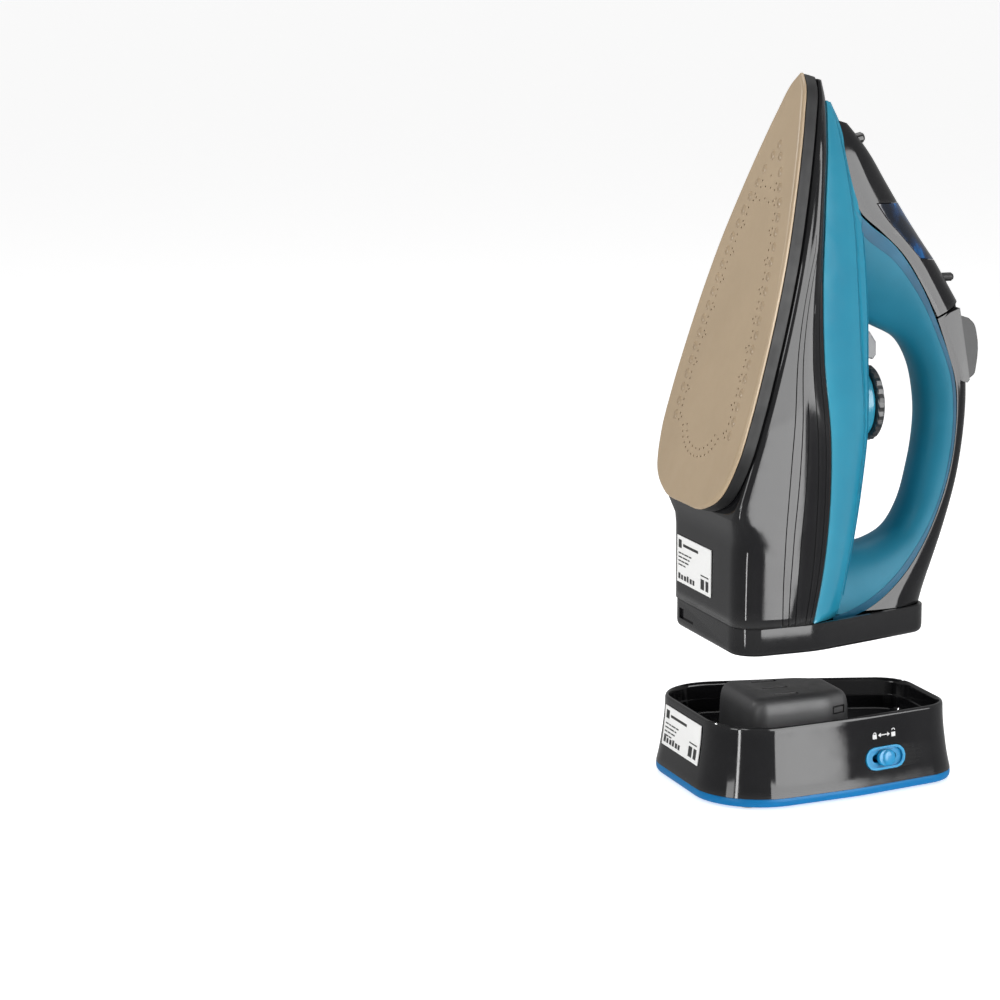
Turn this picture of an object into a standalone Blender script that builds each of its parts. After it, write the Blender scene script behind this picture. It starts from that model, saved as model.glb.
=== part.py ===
"""Cordless steam iron, lifted just clear of its docking base.

Three frames hold the parts, and all their numbers are millimetres:
  iron frame  points are (x, s, h): s runs along the soleplate from the heel to the tip,
              h is the height above it
  heel frame  points are (x, y, z): y runs back from the front wall of the heel,
              z is the height above the heel plane
  dock frame  points are (x, y, z): y as in the heel frame, z is the height above the floor
"""

import math

import bmesh
import bpy
import numpy as np
from mathutils import Matrix, Vector

MM = 0.001
GAP = 0.3
SEAM_GAP = 0.25
WALL = 2.4

# The iron
LEAN = math.radians(16)
COS, SIN = math.cos(LEAN), math.sin(LEAN)
HEEL_FRONT = 34.3
SOLE_THICK = 5.0
SOLE_EDGE = 2.4
SKIRT_INSET = 1.6
SHIELD_TOP = 9.4
BODY_FLOOR = 9.8
HEEL_SEAM = 15.0
HOUSING_START = (HEEL_SEAM + GAP) / COS
DECK_TIP = 296.5
STATIONS = 22
CASTING_TOP = 15.0
SOCKET_DEPTH = 25.5

# The dock
RIM_Z = 42.0
SEAT_Z = 26.0
BASE_LOW, BASE_TOP = 1.0, 5.4
PEDESTAL_TOP = SEAT_Z + 23.5
LOCK_Z = 19.0

# How far the iron stands over its seat, and where the whole is centred
LIFT = 52.0
HEEL_Z = SEAT_Z + LIFT
CENTRE_Y = 68.94

# Soleplate: right half of the outline as (x, s)
SOLE_HALF = [
    (0, 77), (26, 78.5), (44, 88), (52.5, 107), (54, 130), (52.5, 157), (49, 186),
    (43, 215), (35, 240), (25.5, 265), (16, 286), (7.5, 301), (0, 307),
]  # fmt: skip

# Body: sizes along s. The base is the foot of the flank, the seam is where black meets blue,
# and the crease is the edge of the deck
BASE_X = [
    (9, 49.5), (60, 50.5), (95, 52), (130, 53), (157, 51.8), (186, 48.4),
    (215, 42.4), (240, 34.5), (265, 25), (286, 15.5), (300, 7.3), (306, 3),
]  # fmt: skip
SEAM_X = [
    (20, 45), (65, 46.3), (100, 47.5), (130, 48.2), (168, 46.5), (200, 42),
    (240, 31), (265, 21), (285, 11), (296, 4), (302, 1.6), (306, 0.9),
]  # fmt: skip
SEAM_H = [
    (20, 71.5), (65, 67), (100, 59.6), (130, 50.5), (168, 35.8),
    (200, 27.2), (240, 21.3), (280, 18), (300, 15.5), (306, 12.6),
]  # fmt: skip
CREASE_X = [
    (20, 26), (108, 28), (138, 28), (173, 27), (210, 24.5), (248, 18), (275, 10), (288, 5.5), (297, 2),
]  # fmt: skip
CREASE_H = [
    (20, 94), (42, 92), (108, 84), (138, 78.5), (173, 68.5),
    (210, 57.5), (248, 44.5), (275, 32.5), (288, 26), (297, 19.8),
]  # fmt: skip
DECK_H = [
    (20, 101), (42, 99.5), (103, 92), (134, 86.5), (174, 77.5),
    (210, 66), (248, 50.5), (275, 37), (288, 29), (297, 20.5),
]  # fmt: skip

# Handle, cover and nose: stations as (seam s, seam h, apex s, apex h, half width) of a D-shaped section
HANDLE = [
    (247, 40, 195, 50, 21), (241, 52, 193, 64, 20), (235, 68, 191, 78, 18.5), (218, 91, 187, 94, 17),
    (200, 107.5, 176.5, 105, 16), (175, 125, 158, 114.5, 16), (150, 133.5, 143, 118.5, 15.8),
    (126, 136.8, 126, 120.5, 15.5), (104, 136, 106, 121, 15.8), (86, 132.5, 92, 117.5, 17),
    (68, 125, 83, 109, 19.5), (52, 113, 78, 99, 23), (42, 100, 75, 88, 27), (36, 89, 72, 76, 30),
]  # fmt: skip
COVER = [
    (203.5, 106.2, 214.5, 119, 15.6), (188, 117.3, 196.5, 128.5, 15.6), (175, 125.7, 181.5, 134.5, 15.7),
    (150, 134, 156, 141.6, 15.5), (126, 137.3, 126, 146, 15.3), (104, 136.5, 99, 146.6, 15.6),
    (86, 133, 82, 146, 16.8), (68, 125.5, 72, 145.5, 19.3), (52.2, 113.6, 62, 145.3, 22.8),
    (42.2, 100.6, 52, 145.6, 26.6), (36.5, 89.6, 42, 146, 29.4),
]  # fmt: skip
NOSE = [
    (288.5, 25, 288.5, 33, 3.6), (283, 27, 284.5, 39, 7), (272, 30, 277, 49, 12), (258, 36, 265, 62, 16.5),
    (246, 46, 253, 75.5, 18.5), (239.4, 60, 243, 87.5, 18.5), (231, 76.2, 233.5, 99.5, 18),
    (218.4, 91.6, 226, 108, 17), (204.6, 105.6, 216, 119.2, 15.8),
]  # fmt: skip
ROUNDNESS = 2.2

# Buttons: the side outline of their collar, of the well inside it and of the buttons,
# whose tops have a crown
COLLAR_SIDE = [
    (208.4, 112.4), (212, 117), (177, 134), (175.2, 133), (175.6, 127.3), (188, 119), (203.5, 108.6),
]
WELL_SIDE = [(208.8, 115), (208.8, 140), (177, 150), (177, 130.2)]
BUTTON_LOW = [(177.4, 134), (208.4, 119.1)]
BUTTON_TOP = [(208.2, 128.6), (206, 132.6), (202, 135.3), (185, 140.4), (180.5, 140.6), (178, 138.8)]
BUTTON_EDGE, BUTTON_CROWN = 14.0, 4.5
PUMP_S, PUMP_X, PUMP_BORE = 201.5, 6.8, 4.8

# Filler lid: its stations on the nose
LID_ROWS = [
    (249.6, 43, 256.6, 71.5, 17.9), (244, 50.2, 250, 79.1, 18.5),
    (239.4, 60, 243, 87.5, 18.5), (230.4, 77, 233.2, 99.9, 17.9),
]  # fmt: skip
NOZZLE_START, NOZZLE_END = (0, 278, 33), (0, 285.2, 46)

# Dial and lever, whose axes both point along (s, h) = (SIN, COS)
DIAL_BASE = (0, 151, 84.75)
LEVER_BASE = (0, 221, 94.8)

# Plan outlines as (x, y) corners with radii, right front corner first
HEEL_PLAN = ([(50, 0), (46, 46), (31.8, 84), (17.5, 120)], [14, 60, 60, 12])
SOCKET_PLAN = ([(29, 18), (24, 62), (17, 78)], [9, 20, 9])
DOCK_PLAN = ([(60, -9), (48, 68), (32, 129)], [30, 150, 20])
DOCK_FLARE = [(BASE_TOP + GAP, 4.6), (12, 3.2), (22, 1.6), (34, 0.3), (RIM_Z, 0)]
BLADE_X, BLADE_Y = (-15, 0, 15), 41
LOCK_AT = (43.67, 84.5)
TONGUE_AT = (20.7, 69.5, 40)
TONGUE_WALL = (-7, 16)


# ---------------------------------------------------------------- scene, frames and materials
for old in list(bpy.data.objects):
    bpy.data.objects.remove(old)

PARTS = bpy.data.collections.new("cordless_iron")
CUTTERS = bpy.data.collections.new("cutters")
CUTTERS.hide_render = True
bpy.context.scene.collection.children.link(PARTS)
bpy.context.scene.collection.children.link(CUTTERS)


def frame(name, location, tilt=0.0):
    empty = bpy.data.objects.new(name, None)
    empty.location = Vector(location) * MM
    empty.rotation_euler = (tilt, 0, 0)
    PARTS.objects.link(empty)
    return empty


IRON = frame("iron_frame", (0, -CENTRE_Y - HEEL_FRONT, HEEL_Z), -(math.pi / 2 + LEAN))
HEEL = frame("heel_frame", (0, -CENTRE_Y, HEEL_Z))
DOCK = frame("dock_frame", (0, -CENTRE_Y, 0))


def finish(name, colour, rough, metal=0.0, clear=0.0):
    made = bpy.data.materials.new(name)
    made.use_nodes = True
    shader = made.node_tree.nodes["Principled BSDF"]
    shader.inputs["Base Color"].default_value = (*colour, 1)
    shader.inputs["Roughness"].default_value = rough
    shader.inputs["Metallic"].default_value = metal
    shader.inputs["Transmission Weight"].default_value = clear
    made.diffuse_color = (*colour, 1)
    return made


CERAMIC = finish("ceramic_sole", (0.50, 0.38, 0.25), 0.35)
BLACK = finish("black_gloss", (0.02, 0.02, 0.022), 0.12)
MATTE = finish("black_matte", (0.03, 0.03, 0.03), 0.6)
TEAL = finish("teal_gloss", (0.015, 0.22, 0.38), 0.2)
BLUE = finish("base_blue", (0.0, 0.17, 0.48), 0.25)
TINT = finish("tinted_clear", (0.02, 0.08, 0.25), 0.08, clear=0.5)
GREY = finish("pedestal_grey", (0.07, 0.07, 0.075), 0.55)
ALUMINIUM = finish("aluminium", (0.6, 0.6, 0.6), 0.4, metal=1.0)
STEEL = finish("steel", (0.55, 0.55, 0.56), 0.25, metal=1.0)
BRASS = finish("brass", (0.7, 0.5, 0.2), 0.3, metal=1.0)
LAMP = finish("lamp_grey", (0.45, 0.45, 0.45), 0.3)
PAPER = finish("label_white", (0.8, 0.8, 0.8), 0.5)
WHITE = finish("white_plastic", (0.7, 0.7, 0.68), 0.5)
RUBBER = finish("rubber", (0.02, 0.02, 0.02), 0.8)


# ---------------------------------------------------------------- curves and outlines
def table(points):
    """A smooth function through (position, value) points."""
    xs, ys = np.array(points, float).T
    slopes = np.gradient(ys, xs)

    def value(x):
        x = min(max(x, xs[0]), xs[-1])
        i = min(int(np.searchsorted(xs, x, side="right")) - 1, len(xs) - 2)
        width = xs[i + 1] - xs[i]
        t = (x - xs[i]) / width
        start = ys[i] * (1 + 2 * t) * (1 - t) ** 2 + slopes[i] * width * t * (1 - t) ** 2
        end = ys[i + 1] * t * t * (3 - 2 * t) + slopes[i + 1] * width * t * t * (t - 1)
        return float(start + end)

    return value


def smooth_rows(rows, steps):
    """Rows of numbers with `steps` rows for each gap, on a smooth curve through the given ones."""
    rows = np.array(rows, float)
    reach = np.concatenate([[0], np.cumsum(np.linalg.norm(np.diff(rows[:, :2], axis=0), axis=1))])
    columns = [table(list(zip(reach, column))) for column in rows.T]
    places = np.concatenate([np.linspace(a, b, steps, endpoint=False) for a, b in zip(reach, reach[1:])])
    return [[column(p) for column in columns] for p in [*places, reach[-1]]]


def mirrored(half):
    """A closed outline from its right half, whose first and last points are on the centre line."""
    return [tuple(p) for p in half] + [(-p[0], p[1]) for p in half[-2:0:-1]]


def sole_outline(inset=0.0, steps=3, widest=None):
    """The soleplate's outline, moved inwards. Layers of one body share the same widest."""
    half = np.array(smooth_rows(SOLE_HALF, steps))
    along = np.gradient(half, axis=0)
    along[0], along[-1] = (1, 0), (-1, 0)
    inward = np.stack([-along[:, 1], along[:, 0]], 1) / np.linalg.norm(along, axis=1)[:, None]
    moved = half + inset * inward
    limit = half + (inset if widest is None else widest) * inward
    kept = [tuple(p) for p, q in zip(moved[1:-1], limit[1:-1]) if q[0] > 1.0]
    last_s = min(moved[-1][1], kept[-1][1] + kept[-1][0])
    return mirrored([(0, moved[0][1]), *kept, (0, last_s)])


def plan_outline(plan, grow=0.0, steps=5):
    """A symmetric plan with arcs at its corners, moved outwards."""
    right, radii = plan
    corners = right + [(-x, y) for x, y in right[::-1]]
    radii = radii + radii[::-1]
    outline = []
    count = len(corners)
    for i, (corner, radius) in enumerate(zip(corners, radii)):
        here = Vector(corner)
        back = (Vector(corners[i - 1]) - here).normalized()
        ahead = (Vector(corners[(i + 1) % count]) - here).normalized()
        half_angle = back.angle(ahead) / 2
        centre = here + (back + ahead).normalized() * radius / math.sin(half_angle)
        start = here + back * radius / math.tan(half_angle) - centre
        turn = math.pi - 2 * half_angle
        for k in range(steps + 1):
            spoke = Matrix.Rotation(turn * k / steps, 2) @ start
            outline.append(tuple(centre + spoke * (radius + grow) / radius))
    return outline


# ---------------------------------------------------------------- making and joining meshes
def iron_point(x, s, h):
    return Vector((x, -s, h)) * MM


def plain_point(x, y, z):
    return Vector((x, y, z)) * MM


def link(obj, material, parent):
    obj.data.materials.append(material)
    obj.parent = parent
    PARTS.objects.link(obj)
    return obj


def mesh_object(name, bm, material, parent):
    bmesh.ops.recalc_face_normals(bm, faces=bm.faces)
    if bm.calc_volume(signed=True) < 0:
        bmesh.ops.reverse_faces(bm, faces=bm.faces)
    mesh = bpy.data.meshes.new(name)
    bm.to_mesh(mesh)
    bm.free()
    mesh.shade_smooth()
    mesh.set_sharp_from_angle(angle=math.radians(35))
    return link(bpy.data.objects.new(name, mesh), material, parent)


def add_loft(bm, rings):
    """A closed body through rings of points, with flat ends."""
    loops = [[bm.verts.new(p) for p in ring] for ring in rings]
    count = len(loops[0])
    for low, high in zip(loops, loops[1:]):
        for i in range(count):
            k = (i + 1) % count
            bm.faces.new((low[i], low[k], high[k], high[i]))
    bm.faces.new(loops[0][::-1])
    bm.faces.new(loops[-1])


def loft(name, rings, material, parent):
    bm = bmesh.new()
    add_loft(bm, rings)
    return mesh_object(name, bm, material, parent)


def prism(name, outline, low, high, material, parent, to_point=plain_point):
    rings = [[to_point(x, y, level) for x, y in outline] for level in (low, high)]
    return loft(name, rings, material, parent)


def stack(name, layers, material, parent):
    """A body through (outline, height) layers."""
    rings = [[plain_point(x, y, z) for x, y in outline] for outline, z in layers]
    return loft(name, rings, material, parent)


def boxes(name, places, material, parent, to_point=plain_point, turn=None):
    """One box for each (centre, size) in `places`."""
    bm = bmesh.new()
    for centre, size in places:
        move = Matrix.Translation(to_point(*centre))
        grow = Matrix.Diagonal((*(abs(n) for n in to_point(*size)), 1))
        bmesh.ops.create_cube(bm, size=1, matrix=move @ (turn or Matrix()) @ grow)
    return mesh_object(name, bm, material, parent)


def rods(name, places, material, parent, to_point=plain_point, sides=16):
    """One cylinder or cone for each (start, end, start radius, end radius) in `places`."""
    bm = bmesh.new()
    for start, end, radius, end_radius in places:
        a, b = to_point(*start), to_point(*end)
        turn = (b - a).to_track_quat("Z", "Y").to_matrix().to_4x4()
        bmesh.ops.create_cone(
            bm,
            cap_ends=True,
            segments=sides,
            radius1=radius * MM,
            radius2=end_radius * MM,
            depth=(b - a).length,
            matrix=Matrix.Translation((a + b) / 2) @ turn,
        )
    return mesh_object(name, bm, material, parent)


def turned(name, start, end, profile, material, parent, to_point=plain_point, sides=24):
    """A turned piece: (radius, distance from start) points from the far end down its outer side."""
    mesh = bpy.data.meshes.new(name)
    points = [(radius * MM, 0, reach * MM) for radius, reach in profile]
    mesh.from_pydata(points, [(i, i + 1) for i in range(len(points) - 1)], [])
    obj = link(bpy.data.objects.new(name, mesh), material, parent)
    a, b = to_point(*start), to_point(*end)
    obj.location = a
    obj.rotation_euler = (b - a).to_track_quat("Z", "Y").to_euler()
    spin = obj.modifiers.new("turn", "SCREW")
    spin.steps = spin.render_steps = sides
    spin.use_merge_vertices = True
    spin.merge_threshold = 0.00001
    return obj


def wire(name, route, radius, material, parent, to_point=plain_point, resolution=2):
    """A round wire along a straight-sided route."""
    curve = bpy.data.curves.new(name, "CURVE")
    curve.dimensions = "3D"
    curve.bevel_depth = radius * MM
    curve.bevel_resolution = resolution
    curve.use_fill_caps = True
    spline = curve.splines.new("POLY")
    spline.points.add(len(route) - 1)
    for point, place in zip(spline.points, route):
        point.co = (*to_point(*place), 1)
    return link(bpy.data.objects.new(name, curve), material, parent)


def as_mesh(curve_object):
    """The same object as a mesh with its caps welded on."""
    bpy.context.view_layer.update()
    graph = bpy.context.evaluated_depsgraph_get()
    mesh = bpy.data.meshes.new_from_object(curve_object.evaluated_get(graph))
    bm = bmesh.new()
    bm.from_mesh(mesh)
    bmesh.ops.remove_doubles(bm, verts=bm.verts, dist=0.00001)
    bm.to_mesh(mesh)
    bm.free()
    made = bpy.data.objects.new("swap", mesh)
    made.parent = curve_object.parent
    PARTS.objects.link(made)
    name = curve_object.name
    bpy.data.objects.remove(curve_object)
    made.name = name
    return made


def as_cutter(obj):
    for collection in list(obj.users_collection):
        collection.objects.unlink(obj)
    CUTTERS.objects.link(obj)
    obj.hide_render = True
    obj.display_type = "WIRE"
    return obj


def boolean(target, other, operation="DIFFERENCE"):
    step = target.modifiers.new(other.name, "BOOLEAN")
    step.operation = operation
    step.solver = "EXACT"
    step.object = other


def cut(target, *cutters):
    for cutter in cutters:
        boolean(target, cutter)


def set_origin(obj, place):
    """Moves the object's origin, and leaves its shape where it is."""
    obj.data.transform(Matrix.Translation(-place))
    obj.location = place


def bevel(obj, width, segments=2):
    step = obj.modifiers.new("round", "BEVEL")
    step.width = width * MM
    step.segments = segments
    step.limit_method = "ANGLE"
    step.angle_limit = math.radians(40)


def spot(name, place, wall, rise, parent):
    """A frame on a wall: its x runs along the wall, its y upwards and its z outwards."""
    run = Vector((*wall, 0)).normalized()
    out = Vector((run.y, -run.x, 0)) * math.cos(rise) + Vector((0, 0, math.sin(rise)))
    turn = Matrix((run, out.cross(run), out)).transposed().to_4x4()
    empty = frame(name, (0, 0, 0))
    empty.parent = parent
    empty.matrix_basis = Matrix.Translation(plain_point(*place)) @ turn
    return empty


def oblong(length, height, steps=6):
    outline = []
    for side in (1, -1):
        for k in range(steps + 1):
            angle = math.pi * (k / steps - 0.5) + (0 if side > 0 else math.pi)
            reach = side * (length - height) / 2
            outline.append((reach + height / 2 * math.cos(angle), height / 2 * math.sin(angle)))
    return outline


def along(place, reach):
    """A point at a distance from another, in the direction of the dial's and the lever's axes."""
    x, s, h = place
    return (x, s + SIN * reach, h + COS * reach)


# ---------------------------------------------------------------- body surface
base_x, seam_x, crease_x = table(BASE_X), table(SEAM_X), table(CREASE_X)
seam_h, crease_h, deck_h = table(SEAM_H), table(CREASE_H), table(DECK_H)


def floor_h(s):
    """The underside of the body: over the soleplate, then along the front wall of the heel."""
    wall = (HEEL_FRONT - s * SIN) / COS
    blend = min(max((78 - s) / 8, 0), 1)
    return BODY_FLOOR * (1 - blend) + wall * blend if s > 70 else wall


def lower_half(s, inset):
    """(x, h) from the centre of the floor up the flank to the seam."""
    low = floor_h(s) + inset
    foot = max(base_x(s) - inset, 0.8)
    top_x, top_h = max(seam_x(s) - inset, 0.4), max(seam_h(s) - SEAM_GAP, low + 2)
    corner = 4 + 9 * min(max((86 - s) / 24, 0), 1)
    edge = min(corner, foot / 2, (top_h - low) / 3)
    points = [(0, low), (foot / 2, low)]
    for angle in np.linspace(0, math.pi / 2, 5):
        points.append((foot - edge * (1 - math.sin(angle)), low + edge * (1 - math.cos(angle))))
    for k in range(1, 5):
        t = k / 5
        bulge = 2.2 * math.sin(math.pi * t) * min(foot / 40, 1)
        points.append((foot + (top_x - foot) * t + bulge, low + edge + (top_h - low - edge) * t))
    return points + [(top_x, top_h)]


def upper_half(s, inset):
    """(x, h) from the seam over the crease to the centre of the deck."""
    start_x, start_h = max(seam_x(s) - inset, 0.4), seam_h(s) + SEAM_GAP
    deck = max(deck_h(s) - inset, start_h + 1)
    edge_x = max(crease_x(s) - inset * 0.8, 0.25)
    edge_h = min(crease_h(s) - inset * 0.5, deck - 0.5)
    points = [(start_x, start_h)]
    for k in (1, 2):
        t = k / 3
        bulge = 1.6 * math.sin(math.pi * t) * min(start_x / 40, 1)
        x = start_x + (edge_x - start_x) * t + bulge
        points.append((x, start_h + (edge_h - start_h) * t + bulge * 0.7))
    for share, rise in ((1, 0), (0.88, 0.14), (0.62, 0.41), (0.3, 0.76), (0, 1)):
        points.append((edge_x * share, edge_h + (deck - edge_h) * rise))
    return points


def skewed(half, place, slope, inset, *extra):
    """A half section on the plane s = place + slope * h."""
    points = []
    for i in range(len(half(place, inset, *extra))):
        s = place
        for _ in range(6):
            s = place + slope * half(s, inset, *extra)[i][1]
        x, h = half(s, inset, *extra)[i]
        points.append((x, s, h))
    return points


def section(half, place, inset, heel_end):
    """A whole section from the left to the right, sloping like the heel plane near the heel."""
    slope = SIN / COS * min(max((110 - place) / (110 - heel_end), 0), 1)
    right = skewed(half, place, slope, inset)
    if half is lower_half:
        points = [(-x, s, h) for x, s, h in right[:0:-1]] + right
    else:
        points = right + [(-x, s, h) for x, s, h in right[-2::-1]]
    return [iron_point(*p) for p in points]


def stations(start, end, count, crowd=1.5):
    """Places along s that crowd towards the tip."""
    return [end - (end - start) * (1 - k / (count - 1)) ** crowd for k in range(count)]


def channel(name, half, tip, inner_tip, material):
    """A shell around a body half: an outer and an inner skin, joined at the seam and the heel end."""
    start = HOUSING_START
    outer = [section(half, place, 0, start) for place in stations(start, tip, STATIONS)]
    inner = [section(half, place, WALL, start) for place in stations(start, inner_tip, STATIONS)]
    bm = bmesh.new()
    skins = [[[bm.verts.new(p) for p in ring] for ring in skin] for skin in (outer, inner)]
    last = len(outer[0]) - 1
    for skin in skins:
        for low, high in zip(skin, skin[1:]):
            for i in range(last):
                bm.faces.new((low[i], low[i + 1], high[i + 1], high[i]))
        bm.faces.new(skin[-1])
    out, inn = skins
    for i in range(last):
        bm.faces.new((out[0][i], inn[0][i], inn[0][i + 1], out[0][i + 1]))
    for edge in (0, last):
        for k in range(len(out) - 1):
            bm.faces.new((out[k][edge], out[k + 1][edge], inn[k + 1][edge], inn[k][edge]))
    bm.faces.new((out[-1][0], out[-1][last], inn[-1][last], inn[-1][0]))
    return mesh_object(name, bm, material, IRON)


def tank_rings(inset, start, end, low):
    """Sections of the space under the deck, from the height `low` up."""
    rings = []
    for place in np.linspace(start, end, 9):
        upper = [(x, max(h, low + 0.5)) for x, h in upper_half(place, inset)]
        right = [(upper[0][0] - 1, low), *upper]
        rings.append([iron_point(x, place, h) for x, h in right + [(-x, h) for x, h in right[-2::-1]]])
    return rings


def dome(station, points=11, far=1.0, grow=0.0):
    """The arc of a D-shaped section over its apex. far keeps that share of its angle."""
    seam_s, seam_height, apex_s, apex_height, half_width = station
    seam, apex = np.array([seam_s, seam_height]), np.array([apex_s, apex_height])
    reach = np.linalg.norm(apex - seam)
    arc = []
    for angle in np.linspace(-math.pi / 2 * far, math.pi / 2 * far, points):
        side, up = math.sin(angle), abs(math.cos(angle))
        x = math.copysign(abs(side) ** (2 / ROUNDNESS), side) * (half_width + grow)
        s, h = seam + (apex - seam) * up ** (2 / ROUNDNESS) * (1 + grow / reach)
        arc.append(iron_point(x, s, h))
    return arc


def d_loft(name, rows, steps, material):
    return loft(name, [dome(row) for row in smooth_rows(rows, steps)], material, IRON)


def dome_shell(name, rows, steps, material, far, outside=0.0, inside=2.6, longer=0.0):
    """A curved plate on the nose, from `outside` over its surface to `inside` under it."""
    rows = np.array(rows, float)
    ends = []
    for k, n in ((0, 1), (-1, -2)):
        step = rows[n] - rows[k]
        ends.append(rows[k] - step / np.linalg.norm(step[2:4]) * longer)
    rows = smooth_rows([ends[0], *rows[1:-1], ends[1]], steps)
    rings = [dome(row, 11, far, outside) + dome(row, 11, far, -inside)[::-1] for row in rows]
    return loft(name, rings, material, IRON)


# ---------------------------------------------------------------- shared cutters
def make_cutters():
    made = {}
    places = [HOUSING_START - 4] + stations(HOUSING_START, DECK_TIP, STATIONS)
    deck = [section(upper_half, place, -0.4, HOUSING_START) for place in places]
    made["body"] = loft("cut_body", deck, BLACK, IRON)
    made["heel"] = boxes("cut_heel", [((0, 60, HEEL_SEAM + GAP - 60), (200, 300, 120))], BLACK, HEEL)
    outline = plan_outline(SOCKET_PLAN, 4.0)
    made["socket"] = prism("cut_socket", outline, -20, SOCKET_DEPTH + 2.6, BLACK, HEEL)
    bores = [((x, PUMP_S, 66), (x, PUMP_S, 150), PUMP_BORE, PUMP_BORE) for x in (-PUMP_X, PUMP_X)]
    made["pumps"] = rods("cut_pumps", bores, TEAL, IRON, iron_point, 20)
    made["floor"] = prism("cut_floor", sole_outline(5.2), 2, 16.5, BLACK, IRON, iron_point)
    for cutter in made.values():
        as_cutter(cutter)
    return made


CUT = make_cutters()


# ---------------------------------------------------------------- soleplate and heat
def steam_hole_places():
    """Pairs of holes along both edges, a cluster near the tip and an arc at the rear."""
    edge = table([(s, x) for x, s in SOLE_HALF[3:]])
    places = []
    for k in range(11):
        s = 122 + 13.2 * k
        x = edge(s) - 18.5
        places += [(x, s), (-x, s)]
    places += [(0, 268), (4, 261), (-4, 261), (0, 254), (5, 247)]
    places += [(26 * math.sin(a), 118 - 18 * math.cos(a)) for a in np.linspace(-1.2, 1.2, 7)]
    return places


def make_soleplate():
    layers = [(1.4, 0), (0.4, 0.4), (0, 1.3), (0, SOLE_EDGE - 0.2)]
    layers += [(SKIRT_INSET, SOLE_EDGE), (SKIRT_INSET, SOLE_THICK)]
    rings = [[iron_point(x, s, h) for x, s in sole_outline(inset, 3, SKIRT_INSET)] for inset, h in layers]
    plate = loft("soleplate", rings, CERAMIC, IRON)
    holes = [((x, s, -2), (x, s, 8), 0.9, 0.9) for x, s in steam_hole_places()]
    cut(plate, as_cutter(rods("cut_steam", holes, CERAMIC, IRON, iron_point, 6)))


def element_route():
    """The heating element's path: up one side, round near the tip and back."""
    right = [(14, 92), (34, 97), (39.5, 112), (40, 135), (37.5, 165), (31.5, 195), (22, 226), (11, 247)]
    half = smooth_rows(right, 2)
    route = [(x, s, CASTING_TOP + 0.15) for x, s in half]
    route += [(-x, s, h) for x, s, h in route[::-1]]
    return route


CHAMBER_HALF = [(0, 153), (20, 155), (24, 172), (19, 198), (10, 222), (0, 233)]


def chamber_outline(inset=0.0):
    rows = smooth_rows(CHAMBER_HALF, 2)
    return mirrored([(max(x - inset, 0), s + (0.6 * inset if s < 194 else -0.6 * inset)) for x, s in rows])


def make_heat_parts():
    low = SOLE_THICK + GAP
    casting = prism("heater_casting", sole_outline(6.2), low, CASTING_TOP, ALUMINIUM, IRON, iron_point)
    groove = wire("cut_groove", element_route(), 3.8, ALUMINIUM, IRON, iron_point)
    pocket = prism("cut_pocket", chamber_outline(), 8.5, 30, ALUMINIUM, IRON, iron_point)
    screw_places = [(0, 149), (0, 239)]
    bores = [((x, s, 10), (x, s, 20), 2.0, 2.0) for x, s in screw_places]
    screw_holes = as_cutter(rods("cut_chamber_screws", bores, STEEL, IRON, iron_point, 10))
    cut(casting, as_cutter(as_mesh(groove)), as_cutter(pocket), screw_holes)
    wire("heating_element", element_route(), 3.4, STEEL, IRON, iron_point)
    outline = chamber_outline(-4.5)
    lid = prism("steam_chamber_cover", outline, CASTING_TOP + GAP, 17, ALUMINIUM, IRON, iron_point)
    cut(lid, screw_holes)
    for k, (x, s) in enumerate(screw_places):
        make_screw(f"chamber_screw_{k + 1}", (x, s, 17 + GAP), (x, s, 0), IRON, iron_point)
    boxes("thermostat", [((0, 131, 21.5), (17, 22, 12))], STEEL, IRON, iron_point)
    side = [(0, 18), (3, 18), (3, 0), (0, 0)]
    turned("thermal_fuse", (-9, 112, 19), (9, 112, 19), side, WHITE, IRON, iron_point, 12)


def make_screw(name, under_head, towards, parent, to_point=plain_point):
    """A pan head screw, with its head on the far side of under_head."""
    head = [(0, -2.0), (2.0, -2.0), (3.0, -1.0), (3.0, 0), (1.6, 0), (1.6, 6.0), (0, 6.0)]
    turned(name, under_head, towards, head[::-1], STEEL, parent, to_point, 12)


def make_heat_shield():
    """A ring around the casting, with a skirt over the edge of the soleplate."""
    ring = prism("heat_shield", sole_outline(0.3), SOLE_EDGE + GAP, SHIELD_TOP, MATTE, IRON, iron_point)
    inner = prism("cut_shield", sole_outline(5.6), 2, 14, MATTE, IRON, iron_point)
    edge = prism("cut_skirt", sole_outline(SKIRT_INSET - GAP), 2, SOLE_THICK + GAP, MATTE, IRON, iron_point)
    cut(ring, as_cutter(inner), as_cutter(edge))


# ---------------------------------------------------------------- housings
def make_housings():
    lower = channel("lower_housing", lower_half, 306, 299, BLACK)
    upper = channel("upper_housing", upper_half, DECK_TIP, 282, TEAL)
    cut(lower, CUT["floor"])
    neck = rods("cut_neck", [((0, 236, 40), (0, 252, 72), 7, 7)], TEAL, IRON, iron_point, 20)
    bore = (along(DIAL_BASE, -66), along(DIAL_BASE, 10), 4.2, 4.2)
    spindle = rods("cut_spindle", [bore], TEAL, IRON, iron_point, 16)
    boss = (along(DIAL_BASE, -12), along(DIAL_BASE, -GAP), 18.6, 17.6)
    seat = rods("dial_seat", [boss], TEAL, IRON, iron_point, 28)
    boolean(upper, as_cutter(seat), "UNION")
    cut(upper, CUT["socket"], as_cutter(neck), as_cutter(spindle))


def side_prism(name, outline, start_x, end_x, material):
    """A side-view outline of (s, h) points, between two places across the iron."""
    return loft(name, [[iron_point(x, s, h) for s, h in outline] for x in (start_x, end_x)], material, IRON)


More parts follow.
